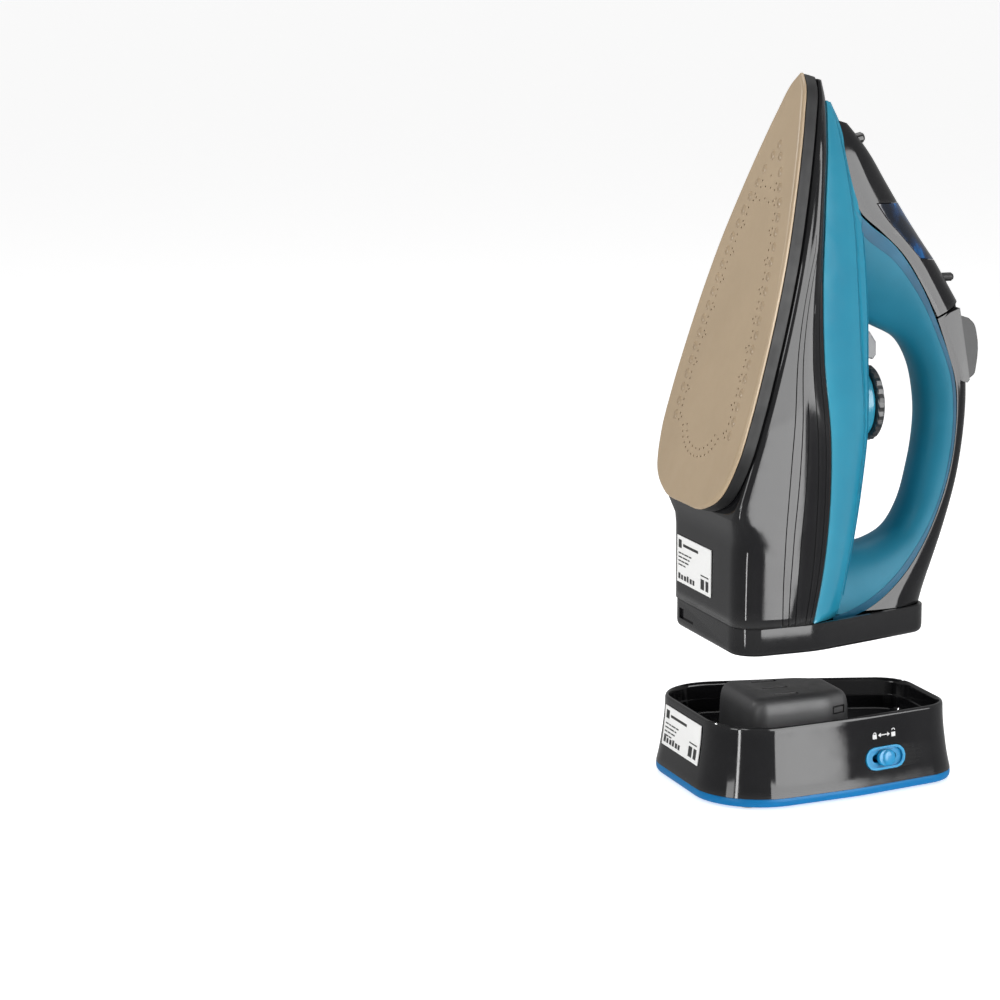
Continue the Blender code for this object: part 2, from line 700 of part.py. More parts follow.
def make_handle():
    handle = d_loft("handle_loop", HANDLE, 3, TEAL)
    cover = d_loft("handle_cover", COVER, 3, BLACK)
    collar = as_cutter(side_prism("button_collar", COLLAR_SIDE, -15.4, 15.4, BLACK))
    well = as_cutter(side_prism("cut_button_well", WELL_SIDE, -14.4, 14.4, BLACK))
    cut(handle, CUT["body"], CUT["heel"], CUT["socket"], CUT["pumps"])
    boolean(cover, collar, "UNION")
    cut(cover, CUT["heel"], CUT["socket"], well, CUT["pumps"])


# ---------------------------------------------------------------- nose, lid, nozzle and lever
def make_nose():
    nose = d_loft("nose_cover", NOSE, 3, BLACK)
    tray = as_cutter(dome_shell("cut_lid_tray", LID_ROWS, 3, BLACK, 0.77, 4, 3, 0.5))
    throat = rods("cut_throat", [((0, 238, 30), (0, 246, 100), 6.5, 6.5)], BLACK, IRON, iron_point, 20)
    throat = as_cutter(throat)
    low, high = along(LEVER_BASE, -4), along(LEVER_BASE, 26)
    side = [(low[1] - 3.3, low[2]), (low[1] + 3.3, low[2])]
    side += [(high[1] + 3.3, high[2]), (high[1] - 3.3, high[2])]
    slot = as_cutter(side_prism("cut_lever_slot", side, -6.5, 6.5, BLACK))
    bore = (NOZZLE_START, NOZZLE_END, 3.4, 3.4)
    nozzle = as_cutter(rods("cut_nozzle", [bore], BLACK, IRON, iron_point, 20))
    cut(nose, CUT["body"], CUT["pumps"], throat, slot, nozzle, tray)
    dome_shell("filler_lid", LID_ROWS, 3, TINT, 0.75)
    tip = [(0, 12.8), (1.9, 12.8), (2.9, 11.6), (2.9, 3.4), (0, 3.4)]
    turned("spray_nozzle", NOZZLE_START, NOZZLE_END, tip, BLACK, IRON, iron_point, 20)
    stem = [(0, 21.6), (1.5, 21.4), (2.3, 20.3), (2.3, 14), (1.9, 12), (1.9, 3)]
    stem += [(3, 2), (3, -2), (2, -3), (0, -3)]
    turned("steam_lever", LEVER_BASE, along(LEVER_BASE, 10), stem, BLACK, IRON, iron_point, 16)


# ---------------------------------------------------------------- buttons, pumps, dial and lamp
def coil(radius, low, high, turns, steps=9):
    """A helix as (x, y, z) points around the origin, along z."""
    count = turns * steps
    points = []
    for k in range(count + 1):
        angle = math.tau * k / steps
        points.append((radius * math.cos(angle), radius * math.sin(angle), low + (high - low) * k / count))
    return points


def button_rings(side, places=(0.4, 4, 8, 11, 13, BUTTON_EDGE)):
    """Side outlines across a button, lower towards its outer edge."""
    rings = []
    for x in places:
        drop = BUTTON_CROWN * (x / BUTTON_EDGE) ** 1.5
        outline = BUTTON_LOW + [(s, h - drop) for s, h in BUTTON_TOP]
        rings.append([iron_point(side * x, s, h) for s, h in outline])
    return rings


def make_buttons():
    for name, side in (("spray", -1), ("steam", 1)):
        x = side * PUMP_X
        button = loft(f"{name}_button", button_rings(side), BLACK, IRON)
        bevel(button, 0.8)
        pump = [(0, 4), (2.6, 4), (2.6, 20.8), (4.4, 20.8), (4.4, 0), (0, 0)]
        base, top = (x, PUMP_S, 71.4), (x, PUMP_S, 140)
        turned(f"{name}_pump", base, top, pump, WHITE, IRON, iron_point, 16)
        plunger = [(0, 49.8), (2, 49.8), (2, 42.4), (4.2, 42.4)]
        plunger += [(4.2, 40.8), (2, 40.8), (2, 10.8), (0, 10.8)]
        turned(f"{name}_plunger", base, top, plunger, WHITE, IRON, iron_point, 16)
        route = [(x + a, PUMP_S + b, h) for a, b, h in coil(3.4, 93, 111.4, 5)]
        wire(f"{name}_spring", route, 0.45, STEEL, IRON, iron_point, 0)


def make_dial():
    start, end = iron_point(*DIAL_BASE), iron_point(*along(DIAL_BASE, 10))
    axis = (end - start).normalized()
    side = Vector((1, 0, 0))
    other = axis.cross(side)
    ribs = 26
    rings = []
    profile = [(17.6, 0, 0), (19.2, 0, 0.5), (20, 0.7, 1.1), (20, 0.7, 3.4), (19.2, 0, 4.2), (17.4, 0, 4.6)]
    for radius, depth, reach in profile:
        ring = []
        for k in range(ribs * 2):
            angle = math.pi * k / ribs
            spoke = side * math.cos(angle) + other * math.sin(angle)
            ring.append(start + (axis * reach + spoke * (radius - depth * (k % 2))) * MM)
        rings.append(ring)
    dial = loft("temperature_dial", rings, MATTE, IRON)
    set_origin(dial, start)
    shaft = [(0, -GAP), (3, -GAP), (3, -57), (0, -57)]
    turned("thermostat_spindle", DIAL_BASE, along(DIAL_BASE, 10), shaft, WHITE, IRON, iron_point, 16)
    lens = [(174.4, 72), (188.2, 68), (188, 74), (183.6, 79.2), (177, 81.2), (174.2, 80.2)]
    lens = side_prism("lamp_lens", lens, -8, 8, LAMP)
    bevel(lens, 0.6)
    cut(lens, CUT["body"])


def make_tank():
    tank = loft("water_tank", tank_rings(4.2, 174, 262, 20.5), TINT, IRON)
    space = as_cutter(loft("cut_tank", tank_rings(6.0, 176, 259, 22.3), TINT, IRON))
    neck = rods("cut_tank_neck", [((0, 240, 34), (0, 246, 70), 6, 6)], TINT, IRON, iron_point, 20)
    cut(tank, space, as_cutter(neck))


# ---------------------------------------------------------------- heel
def blade_slots(name, width, length, low, high, parent):
    size = (width, length, high - low)
    return as_cutter(boxes(name, [((x, BLADE_Y, (low + high) / 2), size) for x in BLADE_X], STEEL, parent))


def make_heel():
    heel = [(-1.6, 0), (-0.5, 0.6), (0, 1.8), (0, HEEL_SEAM)]
    cap = stack("heel_cap", [(plan_outline(HEEL_PLAN, grow), z) for grow, z in heel], BLACK, HEEL)
    room = prism("cut_cap", plan_outline(HEEL_PLAN, -WALL), WALL, 20, BLACK, HEEL)
    tube = prism("cap_tube", plan_outline(SOCKET_PLAN, 3.5), 0.5, SOCKET_DEPTH + 2, BLACK, HEEL)
    hole = prism("cut_cap_socket", plan_outline(SOCKET_PLAN, 1.5), -1, SOCKET_DEPTH, BLACK, HEEL)
    places = [(-38.5, 9), (38.5, 9)]
    posts = rods("cap_posts", [((x, y, 0.5), (x, y, 12), 4.6, 4.6) for x, y in places], BLACK, HEEL)
    sinks = [((x, y, -1), (x, y, 4), 3.4, 3.4) for x, y in places]
    bores = [((x, y, 3.5), (x, y, 13), 1.9, 1.9) for x, y in places]
    catch = boxes("cut_catch", [((-24, -0.5, 8), (20, 3.4, 5.6))], BLACK, HEEL)
    recess = spot("lock_recess_frame", (*TONGUE_AT[:2], TONGUE_AT[2] - SEAT_Z), TONGUE_WALL, 0, HEEL)
    lock = boxes("cut_lock_recess", [((0, 0, 3.5), (11, 5.4, 7))], BLACK, recess)
    cut(cap, as_cutter(room))
    for extra in (tube, posts):
        boolean(cap, as_cutter(extra), "UNION")
    cut(cap, as_cutter(hole), as_cutter(rods("cut_sinks", sinks, BLACK, HEEL)))
    bores = rods("cut_post_bores", bores, BLACK, HEEL, sides=12)
    cut(cap, as_cutter(bores), as_cutter(catch), as_cutter(lock))
    cut(cap, blade_slots("cut_cap_blades", 1.8, 12.8, 20, 30, HEEL))
    for k, (x, y) in enumerate(places):
        make_screw(f"heel_screw_{k + 1}", (x, y, 4 - GAP), (x, y, 13), HEEL)
    block = boxes("contact_block", [((0, BLADE_Y, 36.4), (46, 20, 16.6))], WHITE, HEEL)
    cut(block, blade_slots("cut_block_blades", 1.8, 12.8, 20, 60, HEEL))
    for k, x in enumerate(BLADE_X):
        boxes(f"contact_blade_{k + 1}", [((x, BLADE_Y, 32.7), (1.0, 12, 30.6))], BRASS, HEEL)
    for k, side in enumerate((-1, 1)):
        route = [(15 * side, 69, 58), (14 * side, 74, 46), (13 * side, 84, 30), (14 * side, 92.5, 21)]
        wire(f"lead_wire_{k + 1}", route, 1.2, RUBBER, IRON, iron_point, 1)
    boxes("heel_label", [((-12, -0.5, 37.5), (48, 0.4, 25))], PAPER, HEEL)


# ---------------------------------------------------------------- dock
def make_shell():
    shell = stack("dock_shell", [(plan_outline(DOCK_PLAN, out), z) for z, out in DOCK_FLARE], BLACK, DOCK)
    basin = [(-3.4, SEAT_Z), (-3.2, 38.9), (-2.0, 39.1), (-2.0, 60)]
    basin = stack("cut_basin", [(plan_outline(DOCK_PLAN, out), z) for out, z in basin], BLACK, DOCK)
    under = [(1.4, 0), (1.4, BASE_TOP + GAP), (0, 12), (-1.7, 23.5)]
    under = stack("cut_under", [(plan_outline(DOCK_PLAN, out), z) for out, z in under], BLACK, DOCK)
    hole = prism("cut_floor_hole", plan_outline(SOCKET_PLAN, 0.4), 20, 30, BLACK, DOCK)
    track = loft("cut_track", lock_rings([(26.6, 12.6, -7), (26.6, 12.6, 5)]), BLACK, LOCK_SPOT)
    gland = rods("cut_gland", [((-14, 110, 14), (-14, 150, 14), 4.3, 4.3)], BLACK, DOCK)
    cut(shell, *[as_cutter(piece) for piece in (basin, under, hole, track, gland)])


def make_base():
    base = [(3.4, BASE_LOW), (4.6, 2.2), (4.6, BASE_TOP)]
    base = stack("dock_base", [(plan_outline(DOCK_PLAN, out), z) for out, z in base], BLUE, DOCK)
    feet = [(-46, 8), (46, 8), (-28, 118), (28, 118)]
    wells = rods("cut_feet", [((x, y, 0), (x, y, 3), 6.4, 6.4) for x, y in feet], BLUE, DOCK)
    screws = [(0, 4), (0, 122)]
    sinks = rods("cut_base_sinks", [((x, y, 0), (x, y, 3.4), 3.4, 3.4) for x, y in screws], BLUE, DOCK)
    bores = [((x, y, 0), (x, y, 10), 1.9, 1.9) for x, y in screws]
    bores = rods("cut_base_bores", bores, BLUE, DOCK, sides=12)
    cut(base, *[as_cutter(piece) for piece in (wells, sinks, bores)])
    for k, (x, y) in enumerate(feet):
        foot = [(0, 2.7), (6, 2.7), (6, 0.6), (5.4, 0), (0, 0)]
        turned(f"dock_foot_{k + 1}", (x, y, 0), (x, y, 10), foot, RUBBER, DOCK, sides=16)
    for k, (x, y) in enumerate(screws):
        make_screw(f"base_screw_{k + 1}", (x, y, 3.4 - GAP), (x, y, 10), DOCK)


def make_pedestal():
    body = [(4, 20), (4, 23.2), (0, 23.2), (-0.6, 44), (-1.6, 47.3), (-3.2, 49), (-5, PEDESTAL_TOP)]
    body = stack("dock_pedestal", [(plan_outline(SOCKET_PLAN, out), z) for out, z in body], GREY, DOCK)
    room = [(-2.6, 10), (-3.0, 44), (-5.2, 47)]
    room = stack("cut_room", [(plan_outline(SOCKET_PLAN, out), z) for out, z in room], GREY, DOCK)
    slot = boxes("cut_flank_slot", [((0, 0, 0), (9, 4.4, 12))], GREY, TONGUE_SPOT)
    cut(body, as_cutter(room), as_cutter(slot), blade_slots("cut_pedestal_slots", 3.4, 14.5, 40, 60, DOCK))
    for k, x in enumerate(BLADE_X):
        outline = [(1.9, 30), (1.9, 46), (0.9, 46), (0.9, 32)]
        outline += [(-0.9, 32), (-0.9, 46), (-1.9, 46), (-1.9, 30)]
        rings = [[plain_point(x + a, y, z) for a, z in outline] for y in (BLADE_Y - 5, BLADE_Y + 5)]
        loft(f"dock_contact_{k + 1}", rings, BRASS, DOCK)
    boxes("dock_terminal_block", [((0, BLADE_Y, 24.7), (40, 16, 10))], WHITE, DOCK)


def lock_rings(layers):
    rings = []
    for length, height, level in layers:
        rings.append([plain_point(x, y, level) for x, y in oblong(length, height)])
    return rings


def make_lock():
    plate = loft("lock_track", lock_rings([(26, 12, -5), (26, 12, 0.6)]), BLUE, LOCK_SPOT)
    flange = loft("track_flange", lock_rings([(32, 6.6, -5.2), (32, 6.6, -4)]), BLUE, LOCK_SPOT)
    dish = loft("cut_dish", lock_rings([(22.6, 9.6, -0.8), (22.6, 9.6, 3)]), BLUE, LOCK_SPOT)
    way = loft("cut_way", lock_rings([(16, 4.4, -9), (16, 4.4, 3)]), BLUE, LOCK_SPOT)
    boolean(plate, as_cutter(flange), "UNION")
    cut(plate, as_cutter(dish), as_cutter(way))
    knob = [(11, 8.6, -0.4), (11, 8.6, 2.0), (9.4, 7, 3.2)]
    knob = loft("lock_slider", lock_rings(knob), BLUE, LOCK_SPOT)
    stem = loft("slider_stem", lock_rings([(6, 3.6, -9), (6, 3.6, 1)]), BLUE, LOCK_SPOT)
    boolean(knob, as_cutter(stem), "UNION")
    boxes("lock_tongue", [((0, 0, -8.2), (7, 2.8, 15))], GREY, TONGUE_SPOT)


def make_dock_trims():
    gland = rods("cord_gland", [((-14, 122, 14), (-14, 136.5, 14), 4, 4)], RUBBER, DOCK)
    bore = rods("cut_gland_bore", [((-14, 120, 14), (-14, 140, 14), 2.6, 2.6)], RUBBER, DOCK, sides=12)
    cut(gland, as_cutter(bore))
    lean = table(DOCK_FLARE)
    rings = []
    heights = (17, 24, 31, 38)
    for x in (-27, 24):
        outer = [plain_point(x, -9.8 - lean(z), z) for z in heights]
        inner = [plain_point(x, -9.4 - lean(z), z) for z in heights[::-1]]
        rings.append(outer + inner)
    loft("dock_label", rings, PAPER, DOCK)


TONGUE_SPOT = spot("tongue_frame", TONGUE_AT, TONGUE_WALL, 0, DOCK)
LOCK_SPOT = spot("lock_frame", (*LOCK_AT, LOCK_Z), (-16, 61), math.radians(9.1), DOCK)
LOCK_SPOT.location += Vector((0.9673, 0.2537, 0)) * 2.08 * MM

make_soleplate()
make_heat_parts()
make_heat_shield()
make_housings()
make_handle()
make_nose()
make_buttons()
make_dial()
make_tank()
make_heel()
make_shell()
make_base()
make_pedestal()
make_lock()
make_dock_trims()
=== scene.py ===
"""Looks of the cordless steam iron over its docking base."""

import math

import bmesh
import bpy
import numpy as np
from mathutils import Matrix, Vector


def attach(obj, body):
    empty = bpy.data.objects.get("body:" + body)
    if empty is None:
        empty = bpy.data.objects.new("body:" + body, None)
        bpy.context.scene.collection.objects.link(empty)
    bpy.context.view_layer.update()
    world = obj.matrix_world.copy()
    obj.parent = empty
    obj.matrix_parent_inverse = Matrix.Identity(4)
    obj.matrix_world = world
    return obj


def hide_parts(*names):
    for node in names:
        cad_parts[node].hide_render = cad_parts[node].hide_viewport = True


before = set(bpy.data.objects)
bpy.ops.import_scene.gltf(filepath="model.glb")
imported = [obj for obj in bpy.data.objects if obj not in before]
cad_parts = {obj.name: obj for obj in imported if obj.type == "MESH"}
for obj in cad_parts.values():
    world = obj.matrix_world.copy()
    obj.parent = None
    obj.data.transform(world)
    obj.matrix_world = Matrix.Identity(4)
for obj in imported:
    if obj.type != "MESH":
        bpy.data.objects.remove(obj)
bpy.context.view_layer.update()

# ---------------------------------------------------------------- sizes, in millimetres
MM = 0.001
LEAN = math.radians(16)
COS, SIN = math.cos(LEAN), math.sin(LEAN)
CENTRE_Y = 68.94
HEEL_FRONT = 34.3
HEEL_Z = 78.0
SEAT_Z = 26.0
HEEL_SEAM = 15.3
BODY_FLOOR = 9.8

SOLE_HALF = [
    (0, 77), (26, 78.5), (44, 88), (52.5, 107), (54, 130), (52.5, 157), (49, 186),
    (43, 215), (35, 240), (25.5, 265), (16, 286), (7.5, 301), (0, 307),
]  # fmt: skip
DIMPLES = [
    (262.6, 4.7), (254.8, 10.4), (247.1, 14.7), (239.5, 19.6), (231.9, 23.2), (224.4, 25.3), (216.8, 28),
    (209.3, 29.6), (201.7, 31.2), (194.2, 32.7), (186.6, 33.7), (179, 35), (171.5, 36.4), (163.9, 36.4),
    (156.4, 37.3), (148.8, 37.7), (141.3, 37.9), (133.9, 38.1), (126.4, 38.2), (118.9, 37.8),
]  # fmt: skip
BASE_X = [
    (9, 49.5), (60, 50.5), (95, 52), (130, 53), (157, 51.8), (186, 48.4),
    (215, 42.4), (240, 34.5), (265, 25), (286, 15.5), (300, 7.3), (306, 3),
]  # fmt: skip
SEAM_X = [
    (20, 45), (65, 46.3), (100, 47.5), (130, 48.2), (168, 46.5), (200, 42),
    (240, 31), (265, 21), (285, 11), (296, 4), (302, 1.6), (306, 0.9),
]  # fmt: skip
SEAM_H = [
    (20, 71.5), (65, 67), (100, 59.6), (130, 50.5), (168, 35.8),
    (200, 27.2), (240, 21.3), (280, 18), (300, 15.5), (306, 12.6),
]  # fmt: skip
CREASE_X = [
    (20, 26), (108, 28), (138, 28), (173, 27), (210, 24.5), (248, 18), (275, 10), (288, 5.5), (297, 2),
]  # fmt: skip
CREASE_H = [
    (20, 94), (42, 92), (108, 84), (138, 78.5), (173, 68.5),
    (210, 57.5), (248, 44.5), (275, 32.5), (288, 26), (297, 19.8),
]  # fmt: skip
DECK_H = [
    (20, 101), (42, 99.5), (103, 92), (134, 86.5), (174, 77.5),
    (210, 66), (248, 50.5), (275, 37), (288, 29), (297, 20.5),
]  # fmt: skip
HANDLE = [
    (247, 40, 195, 50, 21), (241, 52, 193, 64, 20), (235, 68, 191, 78, 18.5), (218, 91, 187, 94, 17),
    (200, 107.5, 176.5, 105, 16), (175, 125, 158, 114.5, 16), (150, 133.5, 143, 118.5, 15.8),
    (126, 136.8, 126, 120.5, 15.5), (104, 136, 106, 121, 15.8), (86, 132.5, 92, 117.5, 17),
    (68, 125, 83, 109, 19.5), (52, 113, 78, 99, 23), (42, 100, 75, 88, 27), (36, 89, 72, 76, 30),
]  # fmt: skip
COVER = [
    (203.5, 106.2, 214.5, 119, 15.6), (188, 117.3, 196.5, 128.5, 15.6), (175, 125.7, 181.5, 134.5, 15.7),
    (150, 134, 156, 141.6, 15.5), (126, 137.3, 126, 146, 15.3), (104, 136.5, 99, 146.6, 15.6),
    (86, 133, 82, 146, 16.8), (68, 125.5, 72, 145.5, 19.3), (52.2, 113.6, 62, 145.3, 22.8),
    (42.2, 100.6, 52, 145.6, 26.6), (36.5, 89.6, 42, 146, 29.4),
]  # fmt: skip
NOSE = [
    (288.5, 25, 288.5, 33, 3.6), (283, 27, 284.5, 39, 7), (272, 30, 277, 49, 12), (258, 36, 265, 62, 16.5),
    (246, 46, 253, 75.5, 18.5), (239.4, 60, 243, 87.5, 18.5), (231, 76.2, 233.5, 99.5, 18),
    (218.4, 91.6, 226, 108, 17), (204.6, 105.6, 216, 119.2, 15.8),
]  # fmt: skip
LID = [
    (249.6, 43, 256.6, 71.5, 17.9), (244, 50.2, 250, 79.1, 18.5),
    (239.4, 60, 243, 87.5, 18.5), (230.4, 77, 233.2, 99.9, 17.9),
]  # fmt: skip
NOZZLE_START, NOZZLE_END = (0, 278, 33), (0, 285.2, 46)
DIAL_BASE = (0, 151, 84.75)
COLLAR_SIDE = [
    (208.4, 112.4), (212, 117), (177, 134), (175.2, 133), (175.6, 127.3), (188, 119), (203.5, 108.6),
]  # fmt: skip
WELL_SIDE = [(208.8, 115), (208.8, 140), (177, 150), (177, 130.2)]
BUTTON_LOW = [(177.4, 134), (208.4, 119.1)]
BUTTON_TOP = [(208.2, 128.6), (206, 132.6), (202, 135.3), (185, 140.4), (180.5, 140.6), (178, 138.8)]
BUTTON_EDGE, BUTTON_CROWN = 14.0, 4.5
LEVER_BASE = (0, 221, 94.8)
HEEL_PLAN = ([(50, 0), (46, 46), (31.8, 84), (17.5, 120)], [14, 60, 60, 12])
SOCKET_PLAN = ([(29, 18), (24, 62), (17, 78)], [9, 20, 9])
DOCK_PLAN = ([(60, -9), (48, 68), (32, 129)], [30, 150, 20])
DOCK_FLARE = [(5.7, 4.6), (12, 3.2), (22, 1.6), (34, 0.3), (42, 0)]
BLADE_X, BLADE_Y = (-15, 0, 15), 41
TONGUE_AT, TONGUE_WALL = (20.7, 69.5, 40), (-7, 16)
LOCK_AT, LOCK_WALL, LOCK_RISE = (45.68, 85.03, 19), (-16, 61), math.radians(9.1)
ROUNDNESS = 2.2


def iron(x, s, h):
    return Vector((x, s * SIN + h * COS - CENTRE_Y - HEEL_FRONT, s * COS - h * SIN + HEEL_Z)) * MM


def heel(x, y, z):
    return Vector((x, y - CENTRE_Y, z + HEEL_Z)) * MM


def dock(x, y, z):
    return Vector((x, y - CENTRE_Y, z)) * MM


# ---------------------------------------------------------------- materials
class Nodes:
    """A Principled material and short ways to add nodes to it."""

    def __init__(self, name):
        self.material = bpy.data.materials.new(name)
        self.material.use_nodes = True
        self.tree = self.material.node_tree
        self.shader = self.tree.nodes["Principled BSDF"]
        self.place = self.add("ShaderNodeTexCoord").outputs["Object"]

    def add(self, kind, **values):
        node = self.tree.nodes.new(kind)
        for key, value in values.items():
            if isinstance(value, bpy.types.NodeSocket):
                self.tree.links.new(value, node.inputs[key])
            elif key in node.inputs:
                node.inputs[key].default_value = value
            else:
                setattr(node, key, value)
        return node

    def link(self, output, socket):
        self.tree.links.new(output, self.shader.inputs[socket])

    def noise(self, scale, detail=3.0, stretch=(1, 1, 1)):
        moved = self.add("ShaderNodeMapping", Vector=self.place, Scale=stretch)
        node = self.add("ShaderNodeTexNoise", Vector=moved.outputs[0], Scale=scale, Detail=detail)
        return node.outputs["Fac"]

    def ramp(self, value, stops):
        node = self.add("ShaderNodeValToRGB", Fac=value)
        ramp = node.color_ramp
        while len(ramp.elements) < len(stops):
            ramp.elements.new(0.5)
        for element, (where, colour) in zip(ramp.elements, stops):
            element.position = where
            element.color = (*colour, 1) if len(colour) == 3 else colour
        return node.outputs["Color"]

    def spread(self, value, low, high, start=0.3, end=0.7):
        node = self.add("ShaderNodeMapRange", Value=value)
        for key, number in (("From Min", start), ("From Max", end), ("To Min", low), ("To Max", high)):
            node.inputs[key].default_value = number
        return node.outputs["Result"]

    def mix(self, factor, first, second):
        node = self.add("ShaderNodeMix", data_type="RGBA")
        self.tree.links.new(factor, node.inputs["Factor"])
        for socket, colour in ((6, first), (7, second)):
            if isinstance(colour, bpy.types.NodeSocket):
                self.tree.links.new(colour, node.inputs[socket])
            else:
                node.inputs[socket].default_value = (*colour, 1)
        return node.outputs[2]

    def painted_edge_highlight(self, colour, edge):
        """The colour, with a painted highlight that makes the outer edges lighter."""
        sharp = self.add("ShaderNodeNewGeometry").outputs["Pointiness"]
        return self.mix(self.spread(sharp, 0, 0.55, 0.51, 0.6), colour, edge)

    def bump(self, height, strength, distance=0.0002):
        node = self.add("ShaderNodeBump", Height=height, Strength=strength, Distance=distance)
        self.link(node.outputs["Normal"], "Normal")


def plastic(
    name, dark, light, rough, grain=900, relief=0.04, edge=None, coat=0.0, stretch=(1, 1, 1), gloss=0.5
):
    """Moulded plastic: slow colour drift, uneven gloss and a fine surface grain."""
    made = Nodes(name)
    drift = made.noise(28, 4)
    colour = made.ramp(drift, [(0.3, dark), (0.7, light)])
    # edge is a painted highlight colour, mixed in on the outer edges
    if edge:
        colour = made.painted_edge_highlight(colour, edge)
    made.link(colour, "Base Color")
    made.link(made.spread(made.noise(130, 5, stretch), rough[0], rough[1]), "Roughness")
    made.bump(made.noise(grain, 4, stretch), relief)
    made.shader.inputs["Coat Weight"].default_value = coat
    made.shader.inputs["Coat Roughness"].default_value = 0.04
    made.shader.inputs["Specular IOR Level"].default_value = gloss
    return made


def metal(name, dark, light, rough, stretch=(1, 1, 1), grain=900):
    made = plastic(name, dark, light, rough, grain, 0.1, stretch=stretch)
    made.shader.inputs["Metallic"].default_value = 1.0
    return made


def ceramic(name):
    """Satin ceramic coating: slow colour drift, light flecks and a fine grain."""
    made = Nodes(name)
    drift = made.ramp(made.noise(20, 5), [(0.3, (0.36, 0.268, 0.168)), (0.7, (0.40, 0.30, 0.19))])
    fleck = made.add("ShaderNodeTexVoronoi", Vector=made.place, Scale=1500.0).outputs["Distance"]
    flecks = made.mix(made.spread(fleck, 0.5, 0, 0.0, 0.22), drift, (0.47, 0.37, 0.25))
    made.link(flecks, "Base Color")
    made.link(made.spread(made.noise(90, 6), 0.34, 0.46), "Roughness")
    made.bump(made.noise(1400, 4), 0.1)
    made.shader.inputs["Coat Weight"].default_value = 0.15
    made.shader.inputs["Coat Roughness"].default_value = 0.25
    return made


def tinted(name, clear):
    """Dark blue clear plastic, with painted glints: brighter blue clouds over the dark tint."""
    made = Nodes(name)
    # the darker stops are the plastic's own tint; the brightest blue stop paints glints
    stops = [(0.4, (0.001, 0.005, 0.014)), (0.53, (0.001, 0.03, 0.10)), (0.68, (0.0, 0.16, 0.5))]
    tint_and_painted_glints = made.ramp(made.noise(70, 3, (1, 1, 0.6)), stops)
    made.link(tint_and_painted_glints, "Base Color")
    made.link(made.spread(made.noise(150, 3), 0.05, 0.11), "Roughness")
    made.bump(made.noise(300, 2), 0.03)
    made.shader.inputs["Transmission Weight"].default_value = clear
    made.shader.inputs["Coat Weight"].default_value = 0.5
    return made


# painted highlight colours: this one and the edge colours given below make the outer edges lighter
BLACK_EDGE_HIGHLIGHT = (0.04, 0.04, 0.04)
BLACK = plastic(
    "black_gloss", (0.006, 0.006, 0.007), (0.010, 0.010, 0.011), (0.06, 0.11), 420, 0.02, BLACK_EDGE_HIGHLIGHT,
    gloss=0.42,
)  # fmt: skip
MATTE = plastic(
    "black_matte", (0.006, 0.006, 0.007), (0.012, 0.012, 0.012), (0.4, 0.55), 2200, 0.12, BLACK_EDGE_HIGHLIGHT,
    gloss=0.25,
)  # fmt: skip
DIAL = plastic(
    "dial_black", (0.012, 0.012, 0.013), (0.02, 0.02, 0.021), (0.25, 0.36), 1600, 0.08, (0.07, 0.07, 0.07)
)
TEAL = plastic(
    "teal_gloss", (0.010, 0.185, 0.29), (0.014, 0.215, 0.325), (0.16, 0.24), 700, 0.02,
    (0.05, 0.33, 0.46), 0.15,
)  # fmt: skip
TEAL_HANDLE = plastic(
    "teal_handle", (0.006, 0.13, 0.20), (0.010, 0.155, 0.24), (0.36, 0.44), 900, 0.03, gloss=0.14
)
TEAL_DARK = plastic(
    "teal_smoke", (0.002, 0.035, 0.075), (0.006, 0.10, 0.18), (0.26, 0.36), 260, 0.1, gloss=0.16
)
BASE_BLUE = plastic(
    "base_blue", (0.002, 0.14, 0.36), (0.004, 0.165, 0.41), (0.3, 0.38), 800, 0.04, gloss=0.15
)
LOCK_BLUE = plastic(
    "lock_blue", (0.003, 0.21, 0.44), (0.007, 0.25, 0.5), (0.26, 0.34), 900, 0.05, (0.03, 0.36, 0.62), 0.08
)
BUTTON = plastic(
    "button_satin", (0.008, 0.008, 0.009), (0.013, 0.013, 0.014), (0.16, 0.24), 900, 0.05,
    (0.05, 0.05, 0.05), gloss=0.26,
)  # fmt: skip
GREY = plastic(
    "pedestal_grey", (0.042, 0.042, 0.044), (0.055, 0.055, 0.057), (0.42, 0.52), 2400, 0.22,
    (0.09, 0.09, 0.09),
)  # fmt: skip
LAMP = plastic(
    "lamp_grey", (0.12, 0.12, 0.125), (0.17, 0.17, 0.175), (0.15, 0.22), 500, 0.03, None, 0.1, gloss=0.3
)
PAPER = plastic("label_paper", (0.78, 0.78, 0.77), (0.83, 0.83, 0.82), (0.4, 0.5), 1800, 0.08)
INK = plastic("label_ink", (0.012, 0.012, 0.012), (0.03, 0.03, 0.03), (0.4, 0.5), 1800, 0.08)
PRINT = plastic("white_print", (0.62, 0.62, 0.62), (0.74, 0.74, 0.74), (0.4, 0.5), 1800, 0.05)
WHITE = plastic("white_plastic", (0.62, 0.62, 0.60), (0.70, 0.70, 0.68), (0.35, 0.45), 1500, 0.08)
RUBBER = plastic("rubber", (0.010, 0.010, 0.010), (0.018, 0.018, 0.018), (0.7, 0.85), 1800, 0.25, BLACK_EDGE_HIGHLIGHT)
ALUMINIUM = metal("cast_aluminium", (0.50, 0.50, 0.50), (0.62, 0.62, 0.62), (0.38, 0.55), grain=700)
STEEL = metal("steel", (0.48, 0.48, 0.49), (0.60, 0.60, 0.61), (0.22, 0.36), stretch=(1, 1, 12))
BRASS = metal("brass", (0.60, 0.42, 0.17), (0.72, 0.53, 0.24), (0.2, 0.34), stretch=(1, 1, 10))
CERAMIC = ceramic("ceramic_sole")
LID_TINT_AND_GLINTS = tinted("lid_tint_and_glints", 0.12)
TANK_TINT_AND_GLINTS = tinted("tank_tint_and_glints", 0.5)

